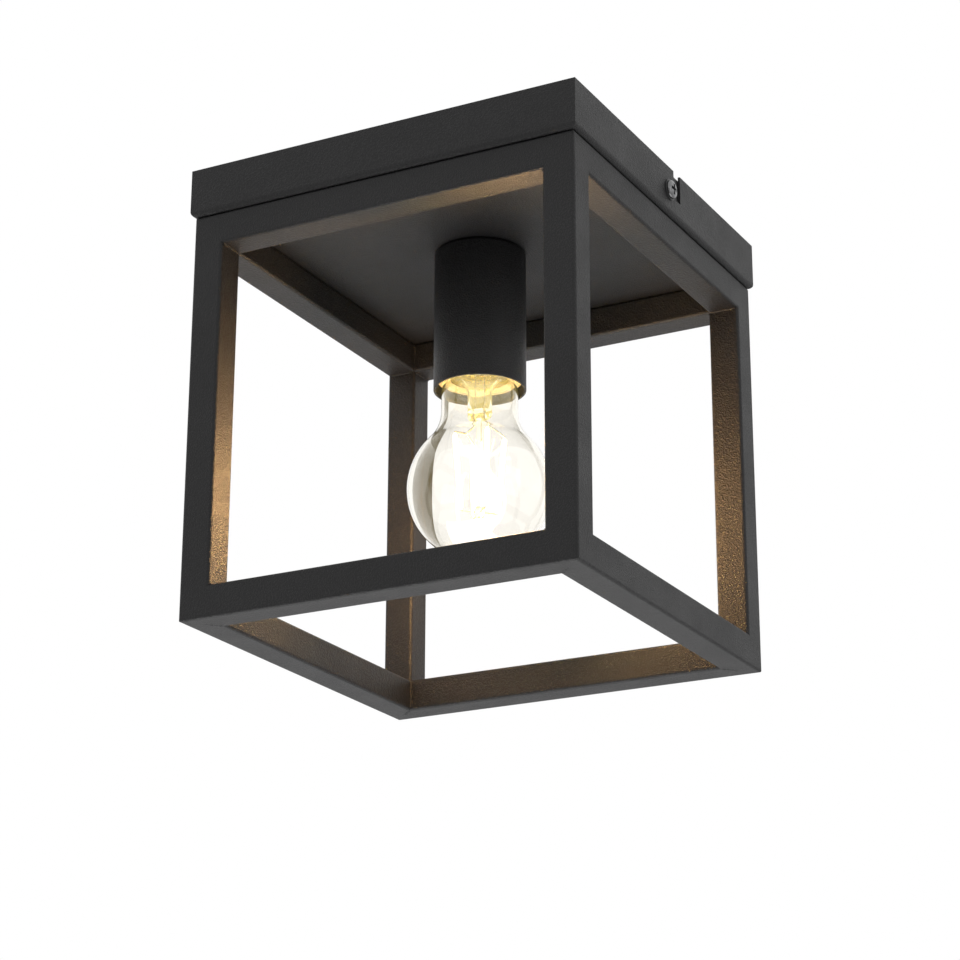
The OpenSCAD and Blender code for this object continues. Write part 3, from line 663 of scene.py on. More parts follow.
def blots(tree, size, detail=2.0):
    """Noise whose blots are about size wide, in metres."""
    where = add_node(tree, "ShaderNodeTexCoord").outputs["Object"]
    sockets = {"Vector": where, "Scale": 1.0 / size, "Detail": detail}
    return add_node(tree, "ShaderNodeTexNoise", sockets).outputs["Fac"]


def between(tree, factor, low, high, start=0.35, end=0.65):
    """A number that runs from low to high as the factor runs from start to end."""
    sockets = {"Value": factor, "From Min": start, "From Max": end, "To Min": low, "To Max": high}
    return add_node(tree, "ShaderNodeMapRange", sockets).outputs["Result"]


def tinted(tree, factor, dark, light, start=0.35, end=0.65):
    """A colour that runs from dark to light as the factor runs from start to end."""
    ramp = add_node(tree, "ShaderNodeValToRGB", {"Fac": factor})
    first, last = ramp.color_ramp.elements
    first.position, last.position = start, end
    first.color, last.color = (*dark, 1.0), (*light, 1.0)
    return ramp.outputs["Color"]


def relief(tree, height, depth, under=None):
    """A bump of a depth in metres, over another one."""
    sockets = {"Height": height, "Distance": depth, "Strength": 1.0}
    if under:
        sockets["Normal"] = under
    return add_node(tree, "ShaderNodeBump", sockets).outputs["Normal"]


def surface(tree, dark, light, gloss, cloud, grain, depth, fixed=None):
    """Colour and gloss that cloud over, and a fine relief."""
    haze = blots(tree, cloud, 3.0)
    return {
        "Base Color": tinted(tree, haze, dark, light),
        "Roughness": between(tree, haze, *gloss),
        "Normal": relief(tree, blots(tree, grain), depth),
        **(fixed or {}),
    }


def powder_coat(tree, colour, roughness, ior, grain, depth):
    """Fine-textured powder coat: a grain of small lumps over a slow ripple."""
    lumps = between(tree, blots(tree, grain), 0.0, 1.0, 0.44, 0.68)
    haze = blots(tree, 0.02, 3.0)
    dark = [0.85 * c for c in colour]
    light = [1.3 * c for c in colour]
    ripple = relief(tree, blots(tree, 0.006, 1.0), 0.00002)
    return {
        "Base Color": tinted(tree, lumps, dark, light, 0.1, 0.9),
        "Roughness": between(tree, haze, roughness - 0.03, roughness + 0.03),
        "Normal": relief(tree, lumps, depth, ripple),
        "IOR": ior,
    }


def black_paint(tree):
    """Powder coat of the canopy, cage and sleeve."""
    s = bpy.context.scene.lantern_paint
    return powder_coat(tree, s.colour, s.roughness, s.gloss_ior, s.grain_size, s.grain_depth)


def bracket_paint(tree):
    """Thinner, glossier coat of the ceiling bracket."""
    s = bpy.context.scene.lantern_paint
    colour = [0.8 * c for c in s.colour]
    grain = (1.3 * s.grain_size, 0.5 * s.grain_depth)
    return powder_coat(tree, colour, s.roughness - 0.08, s.gloss_ior, *grain)


def clear_glass(tree):
    """Clear glass that lets the lamp's light through.

    Near the filaments it also carries a painted glow: a warm emission that stands in for the lamp's
    light scattered in the glass.
    """
    s = bpy.context.scene.lantern_lamp
    shader = tree.nodes["Principled BSDF"]
    passing = add_node(tree, "ShaderNodeBsdfTransparent")
    in_shadow = add_node(tree, "ShaderNodeLightPath").outputs["Is Shadow Ray"]
    sockets = {"Fac": in_shadow, 1: shader.outputs[0], 2: passing.outputs[0]}
    mixed = add_node(tree, "ShaderNodeMixShader", sockets)
    tree.links.new(mixed.outputs[0], tree.nodes["Material Output"].inputs["Surface"])
    where = add_node(tree, "ShaderNodeTexCoord").outputs["Object"]
    flat = add_node(tree, "ShaderNodeMapping", {"Vector": where, "Scale": (1.0, 1.0, 0.0)})
    sockets = {"Vector": flat.outputs[0]}
    off_axis = add_node(tree, "ShaderNodeVectorMath", sockets, operation="LENGTH").outputs["Value"]
    # Painted glow in the glass: the emission is strongest near the stem and fades with the distance
    # from the axis
    painted_glow_range = (s.painted_glass_glow, 0.15 * s.painted_glass_glow)
    return {
        "Base Color": (0.985, 0.978, 0.962, 1.0),
        "Emission Color": (*s.painted_glow_colour, 1.0),
        "Emission Strength": between(tree, off_axis, *painted_glow_range, 3.0 * MM, 17.0 * MM),
        "Transmission Weight": 1.0,
        "Roughness": 0.0,
        "IOR": s.glass_ior,
        "Normal": relief(tree, blots(tree, 0.012, 1.0), 0.00003),
    }


def glowing_phosphor(tree):
    """Yellow phosphor of a light filament, lit from inside."""
    beads = blots(tree, 0.0012, 1.0)
    return {
        "Base Color": tinted(tree, beads, (0.8, 0.5, 0.12), (0.9, 0.66, 0.22)),
        "Emission Color": tinted(tree, beads, (1.0, 0.72, 0.2), (1.0, 0.78, 0.25)),
        "Emission Strength": bpy.context.scene.lantern_lamp.filament_strength,
        "Roughness": between(tree, beads, 0.45, 0.6),
    }


def striped_insulation(tree):
    """Green and yellow insulation whose stripes run along the wire, on its own UV map."""
    uv = add_node(tree, "ShaderNodeTexCoord").outputs["UV"]
    around = add_node(tree, "ShaderNodeSeparateXYZ", {"Vector": uv}).outputs["X"]
    wave = maths(tree, "SINE", maths(tree, "MULTIPLY", around, 2 * TURN))
    return {
        "Base Color": tinted(tree, wave, (0.03, 0.26, 0.05), (0.75, 0.6, 0.04), 0.02, 0.06),
        "Roughness": between(tree, blots(tree, 0.004), 0.35, 0.5),
        "Normal": relief(tree, blots(tree, 0.0009), 0.00002),
    }


METAL = {"Metallic": 1.0}
GLAZE = {"Coat Weight": 0.4, "Coat Roughness": 0.06}
MILKY = {
    "Subsurface Weight": 0.25,
    "Subsurface Scale": 0.002,
    "Subsurface Radius": (1.0, 0.9, 0.7),
}
SKIN = ((0.34, 0.5), 0.005, 0.0009, 0.00002)

# Slot: darkest and lightest colour, (lowest, highest) roughness, width of the clouds, width and
# depth of the grain in metres, and other sockets of the shader
FINISHES = {
    "zinc": ((0.42, 0.44, 0.47), (0.6, 0.61, 0.63), (0.26, 0.42), 0.004, 0.0006, 0.000015, METAL),
    "brass": ((0.5, 0.32, 0.1), (0.78, 0.56, 0.22), (0.2, 0.38), 0.006, 0.0008, 0.000015, METAL),
    # Chrome: its darkened base is partly painted shade, standing in for the dark surroundings that the
    # side screws' heads mirror
    "chrome": ((0.14, 0.14, 0.143), (0.23, 0.23, 0.234), (0.1, 0.24), 0.003, 0.0008, 6e-6, METAL),
    # Porcelain: its tan, golden colour is partly the glaze and partly painted warm lamp light
    "porcelain": ((0.5, 0.39, 0.21), (0.6, 0.48, 0.28), (0.14, 0.24), 0.007, 0.0022, 0.00003, GLAZE),
    "block_nylon": ((0.68, 0.67, 0.62), (0.76, 0.75, 0.71), (0.36, 0.5), 0.005, 0.0009, 0.00002, MILKY),
    "washer_nylon": ((0.006, 0.006, 0.006), (0.012, 0.012, 0.013), (0.38, 0.52), 0.003, 0.0006, 1e-5),
    "wire_brown": ((0.08, 0.03, 0.012), (0.13, 0.055, 0.025), *SKIN),
    "wire_blue": ((0.015, 0.07, 0.3), (0.03, 0.12, 0.42), *SKIN),
    "lead_wire": ((0.5, 0.47, 0.42), (0.68, 0.65, 0.6), (0.18, 0.32), 0.003, 0.0005, 8e-6, METAL),
    "cap_metal": ((0.64, 0.48, 0.12), (0.82, 0.66, 0.22), (0.2, 0.36), 0.005, 0.0007, 1e-5, METAL),
    "insulator": ((0.006, 0.006, 0.007), (0.014, 0.013, 0.014), (0.08, 0.2), 0.004, 0.001, 0.00002),
    "board": ((0.62, 0.58, 0.46), (0.74, 0.7, 0.58), (0.3, 0.45), 0.002, 0.0007, 0.00002),
    "floor": ((0.8, 0.8, 0.8), (0.84, 0.84, 0.84), (0.7, 0.85), 0.4, 0.004, 0.0001),
}

# Slots with a recipe of their own
RECIPES = {
    "black_paint": black_paint,
    "bracket_paint": bracket_paint,
    "glass": clear_glass,
    "filament": glowing_phosphor,
    "wire_earth": striped_insulation,
}

finishes_made = {}


def finish(slot):
    """The material of a slot, made once."""
    if slot not in finishes_made:
        material = bpy.data.materials.new(slot)
        material.use_nodes = True
        tree = material.node_tree
        recipe = RECIPES.get(slot)
        sockets = recipe(tree) if recipe else surface(tree, *FINISHES[slot])
        set_sockets(tree, tree.nodes["Principled BSDF"], sockets)
        finishes_made[slot] = material
    return finishes_made[slot]


# ---- fasteners, standing on z = 0 with the shank down ----


def pan_head_screw(name, thread, pitch, length, head, height):
    """Pan head screw with a cut thread and a tapered cross recess."""
    root = thread / 2 - 0.61 * pitch
    crest = thread / 2 - 0.05
    outline = [(0, height)]
    outline += [(head * r, height * z) for r, z in ((0.2, 0.99), (0.34, 0.93), (0.43, 0.8))]
    outline += [(head * r, height * z) for r, z in ((0.478, 0.6), (0.5, 0.34), (0.5, 0.08))]
    outline += [(0.485 * head, 0), (root + 0.25, 0), (root, -0.25)]
    outline += threaded(-0.3, 0.5 - length, root, crest, pitch, 6)
    outline += [(root, 0.3 - length), (0.75 * root, -length), (0, -length)]
    mesh = mesh_of(name, lathe(outline, 48))
    wide, narrow = (0.7 * head, 0.19 * head), (0.4 * head, 0.12 * head)
    arm = tapered_block(wide, narrow, height + 0.2, 0.15 * height)
    return cut(mesh, arm, placed(arm, Matrix.Rotation(math.pi / 2, 4, "Z")))


def threaded_stud(name, thread, pitch, length, flange):
    """Threaded stud of a length, on a weld flange of (diameter, height)."""
    root = thread / 2 - 0.61 * pitch
    crest = thread / 2 - 0.05
    rim, start = flange[0] / 2, flange[1]
    outline = [(0, 0), (rim, 0), (rim, start - 0.15), (rim - 0.15, start), (root, start)]
    outline += threaded(start + 0.05, length - 0.35, root, crest, pitch, 6)
    outline += [(root, length - 0.3), (root - 0.3, length), (0, length)]
    return mesh_of(name, lathe(outline, 40))


# ---- operators ----


class LANTERN_OT_canopy(bpy.types.Operator):
    """Folded sheet canopy with softened cut edges and its powder coat"""

    bl_idname = "lantern.canopy"
    bl_label = "Canopy"

    def execute(self, context):
        mesh = eased("canopy", context.scene.lantern_paint.edge)
        finished(mesh, "coated", "black_paint", "canopy")
        return {"FINISHED"}


def ground_corner():
    """Block over the whole cage, its upright edges rounded as the posts' are."""
    inset = RAIL_OUTER - TUBE_CORNER
    ring = []
    for k, (sx, sy) in enumerate(((1, 1), (-1, 1), (-1, -1), (1, -1))):
        ring += arc((sx * inset, sy * inset), TUBE_CORNER, 90 * k, 90 * k + 90, 6)
    return prism(ring, BOTTOM_RAIL_Z[1] - 1, TOP_RAIL_Z[0] + 1)


def sink_ends(mesh):
    """Run a post on through the rounded edges of the rails, as its filled welds do."""
    high = max(v.co.z for v in mesh.vertices)
    low = min(v.co.z for v in mesh.vertices)
    for vertex in mesh.vertices:
        if high - vertex.co.z < 1e-5:
            vertex.co.z += TUBE_CORNER * MM
        elif vertex.co.z - low < 1e-5:
            vertex.co.z -= TUBE_CORNER * MM


class LANTERN_OT_cage(bpy.types.Operator):
    """Four posts and eight mitred rails of square tube, ground flush at the corners"""

    bl_idname = "lantern.cage"
    bl_label = "Cage"

    def execute(self, context):
        tubes = [n for n in frame["nodes"] if n.startswith(("post_", "top_rail_", "bottom_rail_"))]
        if len(tubes) != 12:
            raise RuntimeError("the frame doesn't hold the cage's twelve tubes")
        for node in tubes:
            mesh = merged_copy(node)
            if node.startswith("post_"):
                sink_ends(mesh)
            else:
                mesh = cut(mesh, ground_corner(), operation="INTERSECT")
            mesh = modified(mesh, ("WEIGHTED_NORMAL", {"keep_sharp": True, "weight": 70}))
            finished(mesh, "coated", "black_paint", node)
        return {"FINISHED"}


def inner_lines():
    """Lines where posts and rails meet in the cage's inner corners."""
    face, near, far = RAIL_INNER, RAIL_INNER + 1.2, RAIL_OUTER - 1.2
    lines = []
    for sx, sy in CORNERS:
        for z, away in ((TOP_RAIL_Z[1], TOP_RAIL_Z[0]), BOTTOM_RAIL_Z):
            lines.append([(sx * face, sy * near, z), (sx * face, sy * far, z)])
            lines.append([(sx * near, sy * face, z), (sx * far, sy * face, z)])
            inset = 1.5 if away > z else -1.5
            lines.append([(sx * face, sy * face, z + inset), (sx * face, sy * face, away - inset)])
    return lines


def mitre_lines():
    """Mitres under the bottom rails: sunk beads that the grinding has left at inner ends."""
    near, far = RAIL_INNER + 1.0, RAIL_INNER + 6.5
    high, low = BOTTOM_RAIL_Z[1] + 1.2, BOTTOM_RAIL_Z[1] + 1.05
    return [[(sx * near, sy * near, low), (sx * far, sy * far, high)] for sx, sy in CORNERS]


def line_mesh(name, lines):
    """A wire mesh of straight lines, in metres."""
    points = [Vector(p) * MM for line in lines for p in line]
    mesh = bpy.data.meshes.new(name)
    mesh.from_pydata(points, [(2 * i, 2 * i + 1) for i in range(len(lines))], [])
    return mesh


class LANTERN_OT_cage_welds(bpy.types.Operator):
    """Fillet beads in the cage's inner corners and ground seams on its mitres"""

    bl_idname = "lantern.cage_welds"
    bl_label = "Cage welds"

    def execute(self, context):
        s = context.scene.lantern_weld
        tree = weld_bead_tree()
        values = {
            "Bead radius": s.bead_radius,
            "Ripple": s.ripple,
            "Ripple pitch": s.ripple_pitch,
            "Seed": s.seed,
            "Material": finish("black_paint"),
        }
        inner = grown(tree, values, line_mesh("inner", inner_lines()))
        ground = grown(tree, {**values, **GROUND_BEAD}, line_mesh("ground", mitre_lines()))
        mesh = joined("cage_welds", [inner, ground])
        mesh.materials.append(finish("black_paint"))
        obj = linked("cage_welds", mesh)
        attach(obj, "lantern")
        return {"FINISHED"}


class LANTERN_OT_ceiling_bracket(bpy.types.Operator):
    """Bent bracket bar with softened edges and its own coat"""

    bl_idname = "lantern.ceiling_bracket"
    bl_label = "Ceiling bracket"

    def execute(self, context):
        mesh = eased("ceiling_bracket", SOFT_EDGE)
        finished(mesh, "coated", "bracket_paint", "ceiling_bracket")
        return {"FINISHED"}


class LANTERN_OT_side_screws(bpy.types.Operator):
    """Two chrome pan head screws on black nylon washers"""

    bl_idname = "lantern.side_screws"
    bl_label = "Side screws"

    def execute(self, context):
        x, z = SIDE_SCREW
        thickness = 0.5
        rim = [(2.2, 0.06), (2.26, 0), (4.6, 0), (4.7, 0.1), (4.7, 0.38)]
        rim += [(4.6, thickness), (2.26, thickness), (2.2, 0.44)]
        for side, turn in (("right", 0.0), ("left", math.pi)):
            place = (
                Matrix.Rotation(turn, 4, "Z")
                @ Matrix.Translation((x * MM, 0, z * MM))
                @ Matrix.Rotation(math.pi / 2, 4, "Y")
            )
            screw = pan_head_screw("screw", *SIDE_SCREW_SIZE)
            screw.transform(place @ Matrix.Translation((0, 0, thickness * MM)))
            # The screw heads' dark chrome is partly painted shade
            finished(screw, "plated", "chrome", f"side_screw_{side}")
            washer = mesh_of("washer", lathe(rim, 64))
            washer.transform(place)
            finished(washer, "moulded", "washer_nylon", f"side_washer_{side}")
        return {"FINISHED"}


def fastener_grid(tree, node, mesh, counts, pitches, centre):
    """Zinc fasteners in columns and rows, in place of a node. Sizes are in millimetres."""
    values = {
        "Columns": counts[0],
        "Rows": counts[1],
        "Column spacing": pitches[0] * MM,
        "Row spacing": pitches[1] * MM,
        "Centre": Vector(centre) * MM,
        "Material": finish("zinc"),
    }
    finished(repeated(tree, "Fastener", mesh, values), "plated", "zinc", node)


class LANTERN_OT_cage_fixings(bpy.types.Operator):
    """Four zinc screws and rivet nuts that hold the cage under the canopy"""

    bl_idname = "lantern.cage_fixings"
    bl_label = "Cage fixings"

    def execute(self, context):
        body = [(2.0, -0.1), (2.1, 0), (3.75, 0), (3.0, -0.75), (3.0, -0.97)]
        body += [(3.7, -1.0), (3.75, -1.15), (3.55, -1.7), (3.0, -3.0)]
        body += [(3.0, -8.8), (2.8, -9.0), (2.2, -9.0), (2.0, -8.8)]
        body += threaded(-8.7, -4.0, 2.05, 1.95, 0.7, 5)
        tree = fastener_grid_tree()
        pitches = (SCREW_PITCH_X, 2 * RAIL_LINE)
        screw = pan_head_screw("cage_screw", *CAGE_SCREW_SIZE)
        fastener_grid(tree, "cage_screws", screw, (2, 2), pitches, (0, 0, PAN_FLOOR))
        nut = mesh_of("rivet_nut", lathe(body, 40))
        fastener_grid(tree, "cage_rivet_nuts", nut, (2, 2), pitches, (0, 0, TOP_RAIL_Z[0]))
        return {"FINISHED"}


class LANTERN_OT_nipple(bpy.types.Operator):
    """Threaded hollow nipple with its nut and lock washer"""

    bl_idname = "lantern.nipple"
    bl_label = "Hollow nipple"

    def execute(self, context):
        low, high = NIPPLE_Z
        outline = [(3.6, low), (4.3, low), (4.4, low + 0.15)]
        outline += threaded(low + 0.2, high - 0.2, 4.38, 4.93, 1.0, 7)
        outline += [(4.4, high - 0.15), (4.3, high), (3.6, high), (3.5, high - 0.1)]
        outline += [(3.5, low + 0.1)]
        finished(mesh_of("nipple", lathe(outline, 64)), "plated", "zinc", "hollow_nipple")
        for node in ("nipple_nut", "nipple_lock_washer"):
            finished(eased(node, NUT_EDGE), "plated", "zinc", node)
        return {"FINISHED"}


def screw_pair(tree, node, size, place, start):
    """Two screws across the lantern's axis, the first one turned on by start."""
    screw = pan_head_screw("screw", *size)
    screw.transform(place)
    values = {"Count": 2, "Start angle": start, "Material": finish("zinc")}
    finished(repeated(tree, "Item", screw, values), "plated", "zinc", node)


def sleeve_outline():
    """Drawn cup: 1 mm wall, rounded shoulder and a slightly rounded rim."""
    inner, rim = SLEEVE_R - 1.0, SLEEVE_RIM
    shoulder = (SLEEVE_R - 1.6, SLEEVE_TOP - 1.6)
    outline = [(5.2, SLEEVE_TOP)]
    outline += arc(shoulder, 1.6, 90, 0, 10)
    outline += [(SLEEVE_R, -60.0), (SLEEVE_R, rim + 0.25), (SLEEVE_R - 0.07, rim + 0.08)]
    outline += [(SLEEVE_R - 0.25, rim), (inner + 0.25, rim), (inner + 0.07, rim + 0.08)]
    outline += [(inner, rim + 0.25), (inner, -60.0)]
    outline += arc(shoulder, 0.6, 0, 90, 5)
    outline += [(5.2, SLEEVE_TOP - 1.0)]
    return outline


def shell_outline():
    """Rolled shell whose thread stands inwards, in step with the lamp's cap."""
    low, high = SHELL_Z
    inner = threaded(low + 0.5, high - 0.5, 13.4, 12.68, CAP_THREAD_PITCH, 12, shell_roll)
    outer = [(lambda turn, r=r: r(turn) + 0.35, z) for r, z in reversed(inner)]
    outline = [(13.45, low), *inner, (13.4, high), (13.75, high)]
    outline += [*outer, (13.78, low + 0.3), (13.75, low)]
    return outline


class LANTERN_OT_lampholder(bpy.types.Operator):
    """Coated sleeve, glazed core, threaded shell, contacts, bridge and screws"""

    bl_idname = "lantern.lampholder"
    bl_label = "Lampholder"

    def execute(self, context):
        sleeve = mesh_of("sleeve", lathe(sleeve_outline(), 160))
        finished(sleeve, "coated", "black_paint", "lampholder_sleeve")
        # The core's glaze colour carries painted warm light
        finished(eased("lampholder_core", GLAZED_EDGE, 3), "glazed", "porcelain", "lampholder_core")
        shell = mesh_of("shell", lathe(shell_outline(), 120))
        finished(shell, "rolled", "brass", "lampholder_shell")
        for node in ("centre_contact", "shell_contact", "lampholder_terminals"):
            finished(eased(node, STAMPED_EDGE), "pressed", "brass", node)
        finished(eased("lampholder_bridge", SOFT_EDGE), "plated", "zinc", "lampholder_bridge")
        tree = ring_tree()
        x, z = BRIDGE_SCREW
        head_up = Matrix.Translation((x * MM, 0, z * MM)) @ Matrix.Rotation(math.pi, 4, "X")
        screw_pair(tree, "lampholder_screws", BRIDGE_SCREW_SIZE, head_up, 0.0)
        low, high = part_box("holder_terminal_screws")
        under_head = (high.y - HOLDER_SCREW_SIZE[4] * MM, 0, (low.z + high.z) / 2)
        sideways = Matrix.Translation(under_head) @ Matrix.Rotation(math.pi / 2, 4, "Y")
        screw_pair(tree, "holder_terminal_screws", HOLDER_SCREW_SIZE, sideways, TURN / 4)
        return {"FINISHED"}


class LANTERN_OT_terminal_block(bpy.types.Operator):
    """Nylon terminal block with brass inserts, its screws, stud and nut"""

    bl_idname = "lantern.terminal_block"
    bl_label = "Terminal block"

    def execute(self, context):
        finished(eased("terminal_block", SOFT_EDGE), "moulded", "block_nylon", "terminal_block")
        finished(eased("terminal_inserts", THIN_EDGE), "turned", "brass", "terminal_inserts")
        screw = pan_head_screw("clamp_screw", *CLAMP_SCREW_SIZE)
        pitches = (POLE_PITCH, CLAMP_PITCH)
        centre = (0, BLOCK_Y, CLAMP_TOP)
        tree = fastener_grid_tree()
        fastener_grid(tree, "terminal_screws", screw, (3, 2), pitches, centre)
        stud = threaded_stud("stud", 3.0, 0.5, 14.0, (4.4, 0.6))
        stud.transform(Matrix.Translation((POLE_PITCH / 2 * MM, BLOCK_Y * MM, PAN_FLOOR * MM)))
        finished(stud, "plated", "zinc", "terminal_stud")
        finished(eased("terminal_nut", STAMPED_EDGE), "plated", "zinc", "terminal_nut")
        return {"FINISHED"}


class LANTERN_OT_earth_point(bpy.types.Operator):
    """Weld stud with the ring terminal, toothed washer and nut of the earth wire"""

    bl_idname = "lantern.earth_point"
    bl_label = "Earth point"

    def execute(self, context):
        stud = threaded_stud("earth_stud", 4.0, 0.7, 10.0, (5.6, 0.7))
        stud.transform(Matrix.Translation((EARTH[0] * MM, EARTH[1] * MM, PAN_FLOOR * MM)))
        finished(stud, "plated", "zinc", "earth_stud")
        edges = {"earth_lug": NUT_EDGE, "earth_washer": THIN_EDGE, "earth_nut": NUT_EDGE}
        for node, edge in edges.items():
            finished(eased(node, edge), "plated", "zinc", node)
        return {"FINISHED"}


def unwrap(mesh, route):
    """UV map: U once round the wire, V along it in steps of one ring."""
    rings = len(route)
    sides = len(mesh.vertices) // rings
    layer = mesh.uv_layers.new(name="along")
    for polygon in mesh.polygons:
        corners = [(v % sides, v // sides) for v in polygon.vertices]
        wraps = max(c[0] for c in corners) - min(c[0] for c in corners) > sides / 2
        for loop, (across, along) in zip(polygon.loop_indices, corners):
            if wraps and across == 0:
                across = sides
            layer.data[loop].uv = (across / sides, along / rings)


class LANTERN_OT_wires(bpy.types.Operator):
    """Brown, blue and green and yellow wires from the terminals to the lampholder and stud"""

    bl_idname = "lantern.wires"
    bl_label = "Wires"

    def execute(self, context):
        live = [(0, -11, -39), (0, -11, -30.3), (-1.25, 0, -30.3), (-1.25, 0, -11)]
        live += [(0, 17.5, -14), (0, 36, -14)]
        neutral = [(0, 11, -39), (0, 11, -30.3), (1.25, 0, -30.3), (1.25, 0, -11)]
        neutral += [(10, 17.5, -14), (10, 36, -14)]
        earth = [(-25, 30, -17.9), (-18.5, 30, -17.9), (-18.5, 21.5, -15)]
        earth += [(-10, 18.5, -14), (-10, 36, -14)]
        for node, slot, path, side in (
            ("live_wire", "wire_brown", live, (1, 0, 0)),
            ("neutral_wire", "wire_blue", neutral, (1, 0, 0)),
            ("earth_wire", "wire_earth", earth, (0, 0, 1)),
        ):
            route = fine(bent(path, WIRE_BEND), 1.5)
            mesh = mesh_of(node, sweep(route, WIRE_R, 20, side))
            unwrap(mesh, route)
            finished(mesh, "insulated", slot, node)
        return {"FINISHED"}


def glass_skin(g):
    """The glass from its bottom up to the collar, moved in by g."""
    reach = BULB_R + NECK_BLEND
    rise = math.sqrt(reach**2 - (NECK_R + NECK_BLEND) ** 2)
    meet = math.degrees(math.asin(rise / reach))
    shoulder = (NECK_R - SHOULDER_R, CAP_EDGE - 6.8)
    lean = math.degrees(math.asin((CAP_EDGE - shoulder[1]) / SHOULDER_R))
    points = [(0.0, BULB_CENTRE - BULB_R + g)]
    points += arc((0, BULB_CENTRE), BULB_R - g, -88, meet, 64)
    hollow = (NECK_R + NECK_BLEND, BULB_CENTRE + rise)
    points += arc(hollow, NECK_BLEND + g, 180 + meet - 1.5, 180, 18)
    points += arc(shoulder, SHOULDER_R - g, 0, lean, 8)
    return points


def glass_outline():
    """Outer and inner faces of the glass, joined by the rim of its collar."""
    faces = []
    for g, edge in ((0.0, 12.4), (GLASS_T, 12.0)):
        collar = [(12.6 - g, CAP_EDGE + 0.4), (12.6 - g, COLLAR_TOP - 0.2), (edge, COLLAR_TOP)]
        faces.append(glass_skin(g) + collar)
    outer, inner = faces
    return outer + inner[::-1]


def stem_shells():
    """Flared glass tube with a pressed end, and the rod with its button."""
    flare = [(0, STEM_BORE_END), (4.4, STEM_BORE_END), (4.4, -86.2), (5.2, -82.7)]
    flare += [(7.4, -79.2), (10.8, -77.2), (11.8, -77.2), (11.8, -78.2), (8.2, -80.2)]
    flare += [(6.0, -83.2), (5.2, -86.2), (5.2, -92.0), (5.15, -95.7), (4.9, -97.4)]
    flare += [(4.2, -98.6), (3.0, STEM_END), (0, STEM_END)]
    points, faces = lathe(flare, 72)
    pressed = []
    for x, y, z in points:
        press = min(1.0, max(0.0, (-91.0 - z) / 6.0))
        press = press * press * (3 - 2 * press)
        pressed.append((x * (1 + 0.12 * press), y * (1 - 0.5 * press), z))
    rod = [(0, BUTTON_Z - BUTTON_R)]
    rod += arc((0, BUTTON_Z), BUTTON_R, -80, 50, 14)
    rod += [(1.5, BUTTON_Z + 2.5), (1.5, STEM_END + 1.0), (0, STEM_END + 1.2)]
    return (pressed, faces), lathe(rod, 40)


class LANTERN_OT_lamp_glass(bpy.types.Operator):
    """Clear glass bulb with its blended neck, and the stem sealed inside it"""

    bl_idname = "lantern.lamp_glass"
    bl_label = "Lamp glass"

    def execute(self, context):
        envelope = mesh_of("envelope", lathe(glass_outline(), 160))
        finished(softened(envelope, 60), "blown", "glass", "bulb_envelope")
        stem = mesh_of("stem", *stem_shells())
        finished(softened(stem, 50), "pressed", "glass", "bulb_stem")
        return {"FINISHED"}


def filament_rod():
    """Phosphor rod on the XZ plane, swelling a little over each light chip."""
    top = Vector((FILAMENT_TOP[0], 0, FILAMENT_TOP[1]))
    end = Vector((FILAMENT_END[0], 0, FILAMENT_END[1]))
    steps = 112
    path, radii = [], []
    for i in range(steps + 1):
        s = i / steps
        path.append(top.lerp(end, s))
        shape = min(1.0, 12 * s, 12 * (1 - s))
        chip = 0.03 * math.cos(TURN * 28 * s)
        radii.append(max(0.05, 1.05 * math.sqrt(1 - (1 - shape) ** 2) * (1 + chip)))
    return sweep(path, radii, 18, (0, 1, 0))


def lamp_wires():
    """Lead wires, forks to the filaments, and the ties at the button."""
    radius, sides = 0.35, 12
    lead_x, fork_x, tie_x = 2.2, 6.5, 1.8
    shells = []

    def at(point, turn):
        return Vector((point[0] * math.cos(turn), point[0] * math.sin(turn), point[1]))

    for side in (-1, 1):
        fork = Vector((side * fork_x, 0, FILAMENT_TOP[1] + 2))
        lead = [(side * lead_x, 0, CAP_EDGE + 4), (side * lead_x, 0, STEM_END - 0.5)]
        turns = (TURN / 8, -TURN / 8) if side > 0 else (3 * TURN / 8, -3 * TURN / 8)
        tops = [at((FILAMENT_TOP[0], FILAMENT_TOP[1] + 0.5), turn) for turn in turns]
        shells.append(sweep(fine(bent([*lead, fork, tops[0]], 1.2), 2.0), radius, sides))
        branch = bent([fork - Vector((side * 0.3, 0, 0)), fork, tops[1]], 0.5)
        shells.append(sweep(branch, radius, sides, (0, 0, 1)))
    for i in range(4):
        turn = TURN * (i + 0.5) / 4
        inner = at((tie_x, BUTTON_Z), turn)
        end = at((FILAMENT_END[0], FILAMENT_END[1] - 0.5), turn)
        shells.append(sweep([inner, inner.lerp(end, 0.5), end], radius, sides, (0, 0, 1)))
    return shells


class LANTERN_OT_filaments(bpy.types.Operator):
    """Four lit filaments round the stem, with their lead wires and ties"""

    bl_idname = "lantern.filaments"
    bl_label = "Filaments"

    def execute(self, context):
        values = {"Count": 4, "Start angle": TURN / 8, "Material": finish("filament")}
        filament = mesh_of("filament", filament_rod())
        finished(repeated(ring_tree(), "Item", filament, values), "lit", "filament", "bulb_filaments")
        finished(mesh_of("wires", *lamp_wires()), "drawn", "lead_wire", "bulb_wires")
        return {"FINISHED"}


def cap_outline():
    """Screw cap: plain skirt, rolled thread and turned-in lip, 0.3 mm thick."""
    outer = threaded(-76.6, -60.2, 12.36, 13.1, CAP_THREAD_PITCH, 14, roll)
    inner = [(lambda turn, r=r: r(turn) - 0.3, z) for r, z in reversed(outer)]
    outline = [(12.8, CAP_EDGE), (13.0, CAP_EDGE), (13.1, CAP_EDGE + 0.12), (13.1, -77.4)]
    outline += [(12.9, -77.0), *outer, (12.3, -59.3), (12.15, -58.5), (11.8, -58.0)]
    outline += [(11.62, -57.92), (11.6, -58.2), (11.8, -58.5), (12.0, CAP_TOP)]
    outline += [*inner, (12.6, -77.0), (12.8, -77.4)]
    return outline


